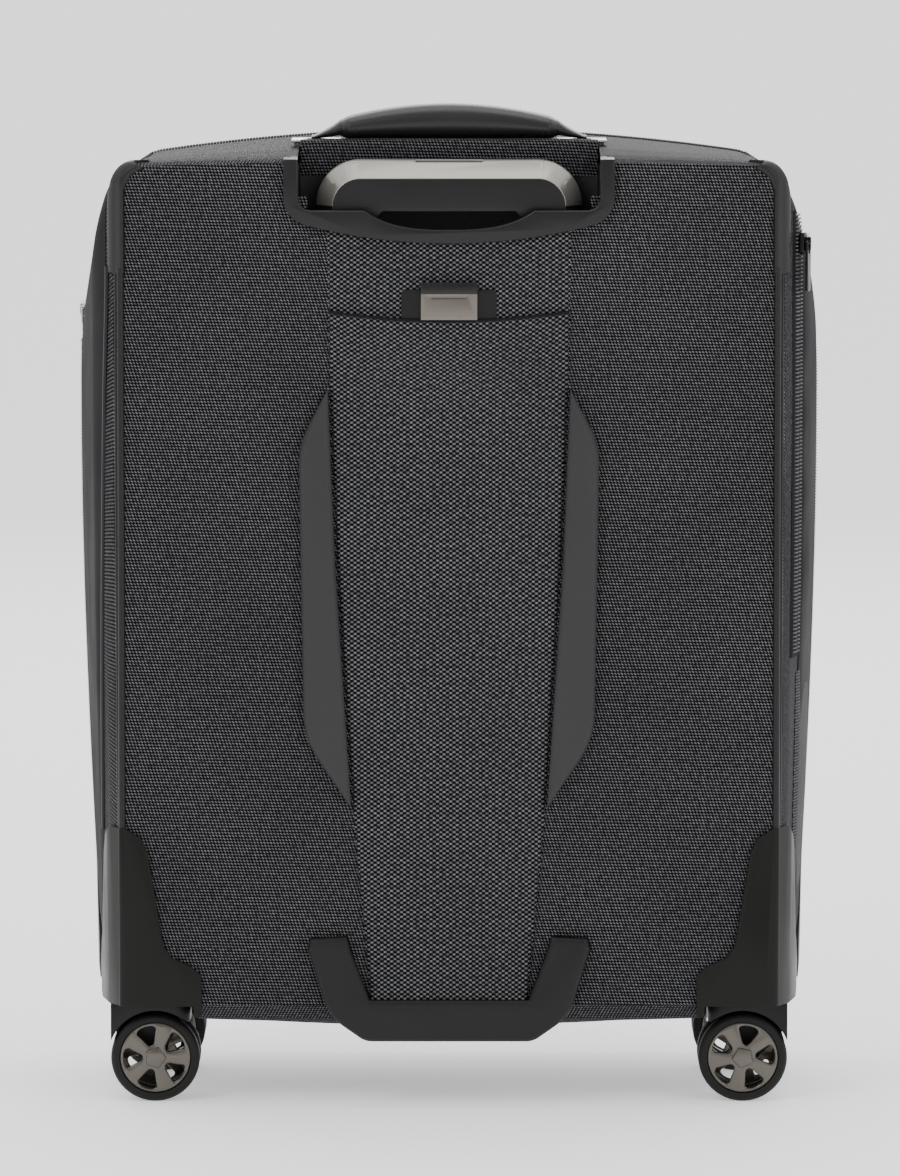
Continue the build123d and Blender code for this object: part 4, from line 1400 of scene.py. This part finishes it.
# %% Rims and tyres in place
for caster in CASTERS:
    start_angle = 1 if caster.endswith("left") else 42
    for wheel in ("aft", "fore"):
        low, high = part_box(f"{caster}_rim_{wheel}")
        copy = bpy.data.objects.new(f"{caster}_{wheel}_spokes", rim.data.copy())
        bpy.context.scene.collection.objects.link(copy)
        turn = math.radians(90 - start_angle)
        copy.rotation_euler = (0, turn, 0 if wheel == "aft" else math.pi)
        copy.location = (low + high) / 2
        finish_piece(
            copy, copy.name, f"{caster}_wheel_{wheel}", rim_paint, "rim_metal",
            [f"{caster}_rim_{wheel}"],
        )
        polished(f"{caster}_tyre_{wheel}", tyre_rubber, "tyre_rubber", 0, f"{caster}_{wheel}_tread")
remove(rim)
print("wheels done")

# %% [markdown]
# ## Studio
# The floor is one large matt plane. Four soft area lights stand in for a light tent, and the sky is
# brighter in front of the lens than behind it, so the ground looks pale and the dark cloth stays dark.

# %% Floor, lights and camera
start_clean()
bpy.ops.mesh.primitive_plane_add(size=60, location=(0, 0, 0))
floor = bpy.context.object
floor.name = "studio_floor"
floor_finish, _, floor_shader = new_finish("studio floor, matt white", 0.9)
floor_shader.inputs["Base Color"].default_value = hex_colour("f4f4f4")
floor_shader.inputs["Emission Color"].default_value = hex_colour("ffffff")
floor_shader.inputs["Emission Strength"].default_value = 0.5
floor.data.materials.append(floor_finish)

CAMERA_AT = Vector((0, -4.294, 0.740))
LOOK_AT = Vector((0.0005, -0.094, 0.2868))
VIEW_WIDTH, VIEW_REACH = 0.4912, 4.225  # the picture is this wide at this distance from the lens
camera_data = bpy.data.cameras.new("studio_camera")
camera_data.sensor_fit = "HORIZONTAL"
camera_data.sensor_width = 36
camera_data.lens = camera_data.sensor_width * VIEW_REACH / VIEW_WIDTH
camera = bpy.data.objects.new("studio_camera", camera_data)
bpy.context.scene.collection.objects.link(camera)
camera.location = CAMERA_AT
camera.rotation_euler = (LOOK_AT - CAMERA_AT).to_track_quat("-Z", "Y").to_euler()
bpy.context.scene.camera = camera


def soft_box(name, place, aim, size, power):
    light = bpy.data.lights.new(name, "AREA")
    light.shape = "RECTANGLE"
    light.size, light.size_y = size
    light.energy = power
    lamp = bpy.data.objects.new(name, light)
    bpy.context.scene.collection.objects.link(lamp)
    lamp.location = place
    lamp.rotation_euler = (Vector(aim) - Vector(place)).to_track_quat("-Z", "Y").to_euler()
    return lamp


soft_box("key_light", (-1.3, -1.8, 2.0), (0, 0, 0.3), (1.2, 1.2), 24)
soft_box("fill_light", (1.5, -1.8, 1.4), (0, 0, 0.3), (1.2, 1.4), 15)
soft_box("top_light", (0, 0.2, 2.2), (0, 0, 0.4), (1.4, 1.0), 9)
soft_box("rear_light", (0, 2.4, 1.6), (0, 0, 0.3), (1.6, 1.2), 22)
world = bpy.data.worlds.new("studio")
bpy.context.scene.world = world
world.use_nodes = True
sky = world.node_tree
facing = add_node(sky, "ShaderNodeTexCoord")
parts_of = add_node(sky, "ShaderNodeSeparateXYZ", [(0, facing.outputs["Generated"])])
dimmer = add_node(
    sky, "ShaderNodeMapRange",
    [("Value", parts_of.outputs[1]), ("From Min", -0.9), ("From Max", 0.3),
     ("To Min", 0.55), ("To Max", 1.6)],
    interpolation_type="SMOOTHSTEP",
)
sky.links.new(dimmer.outputs[0], sky.nodes["Background"].inputs[1])
sky.nodes["Background"].inputs[0].default_value = hex_colour("ffffff")
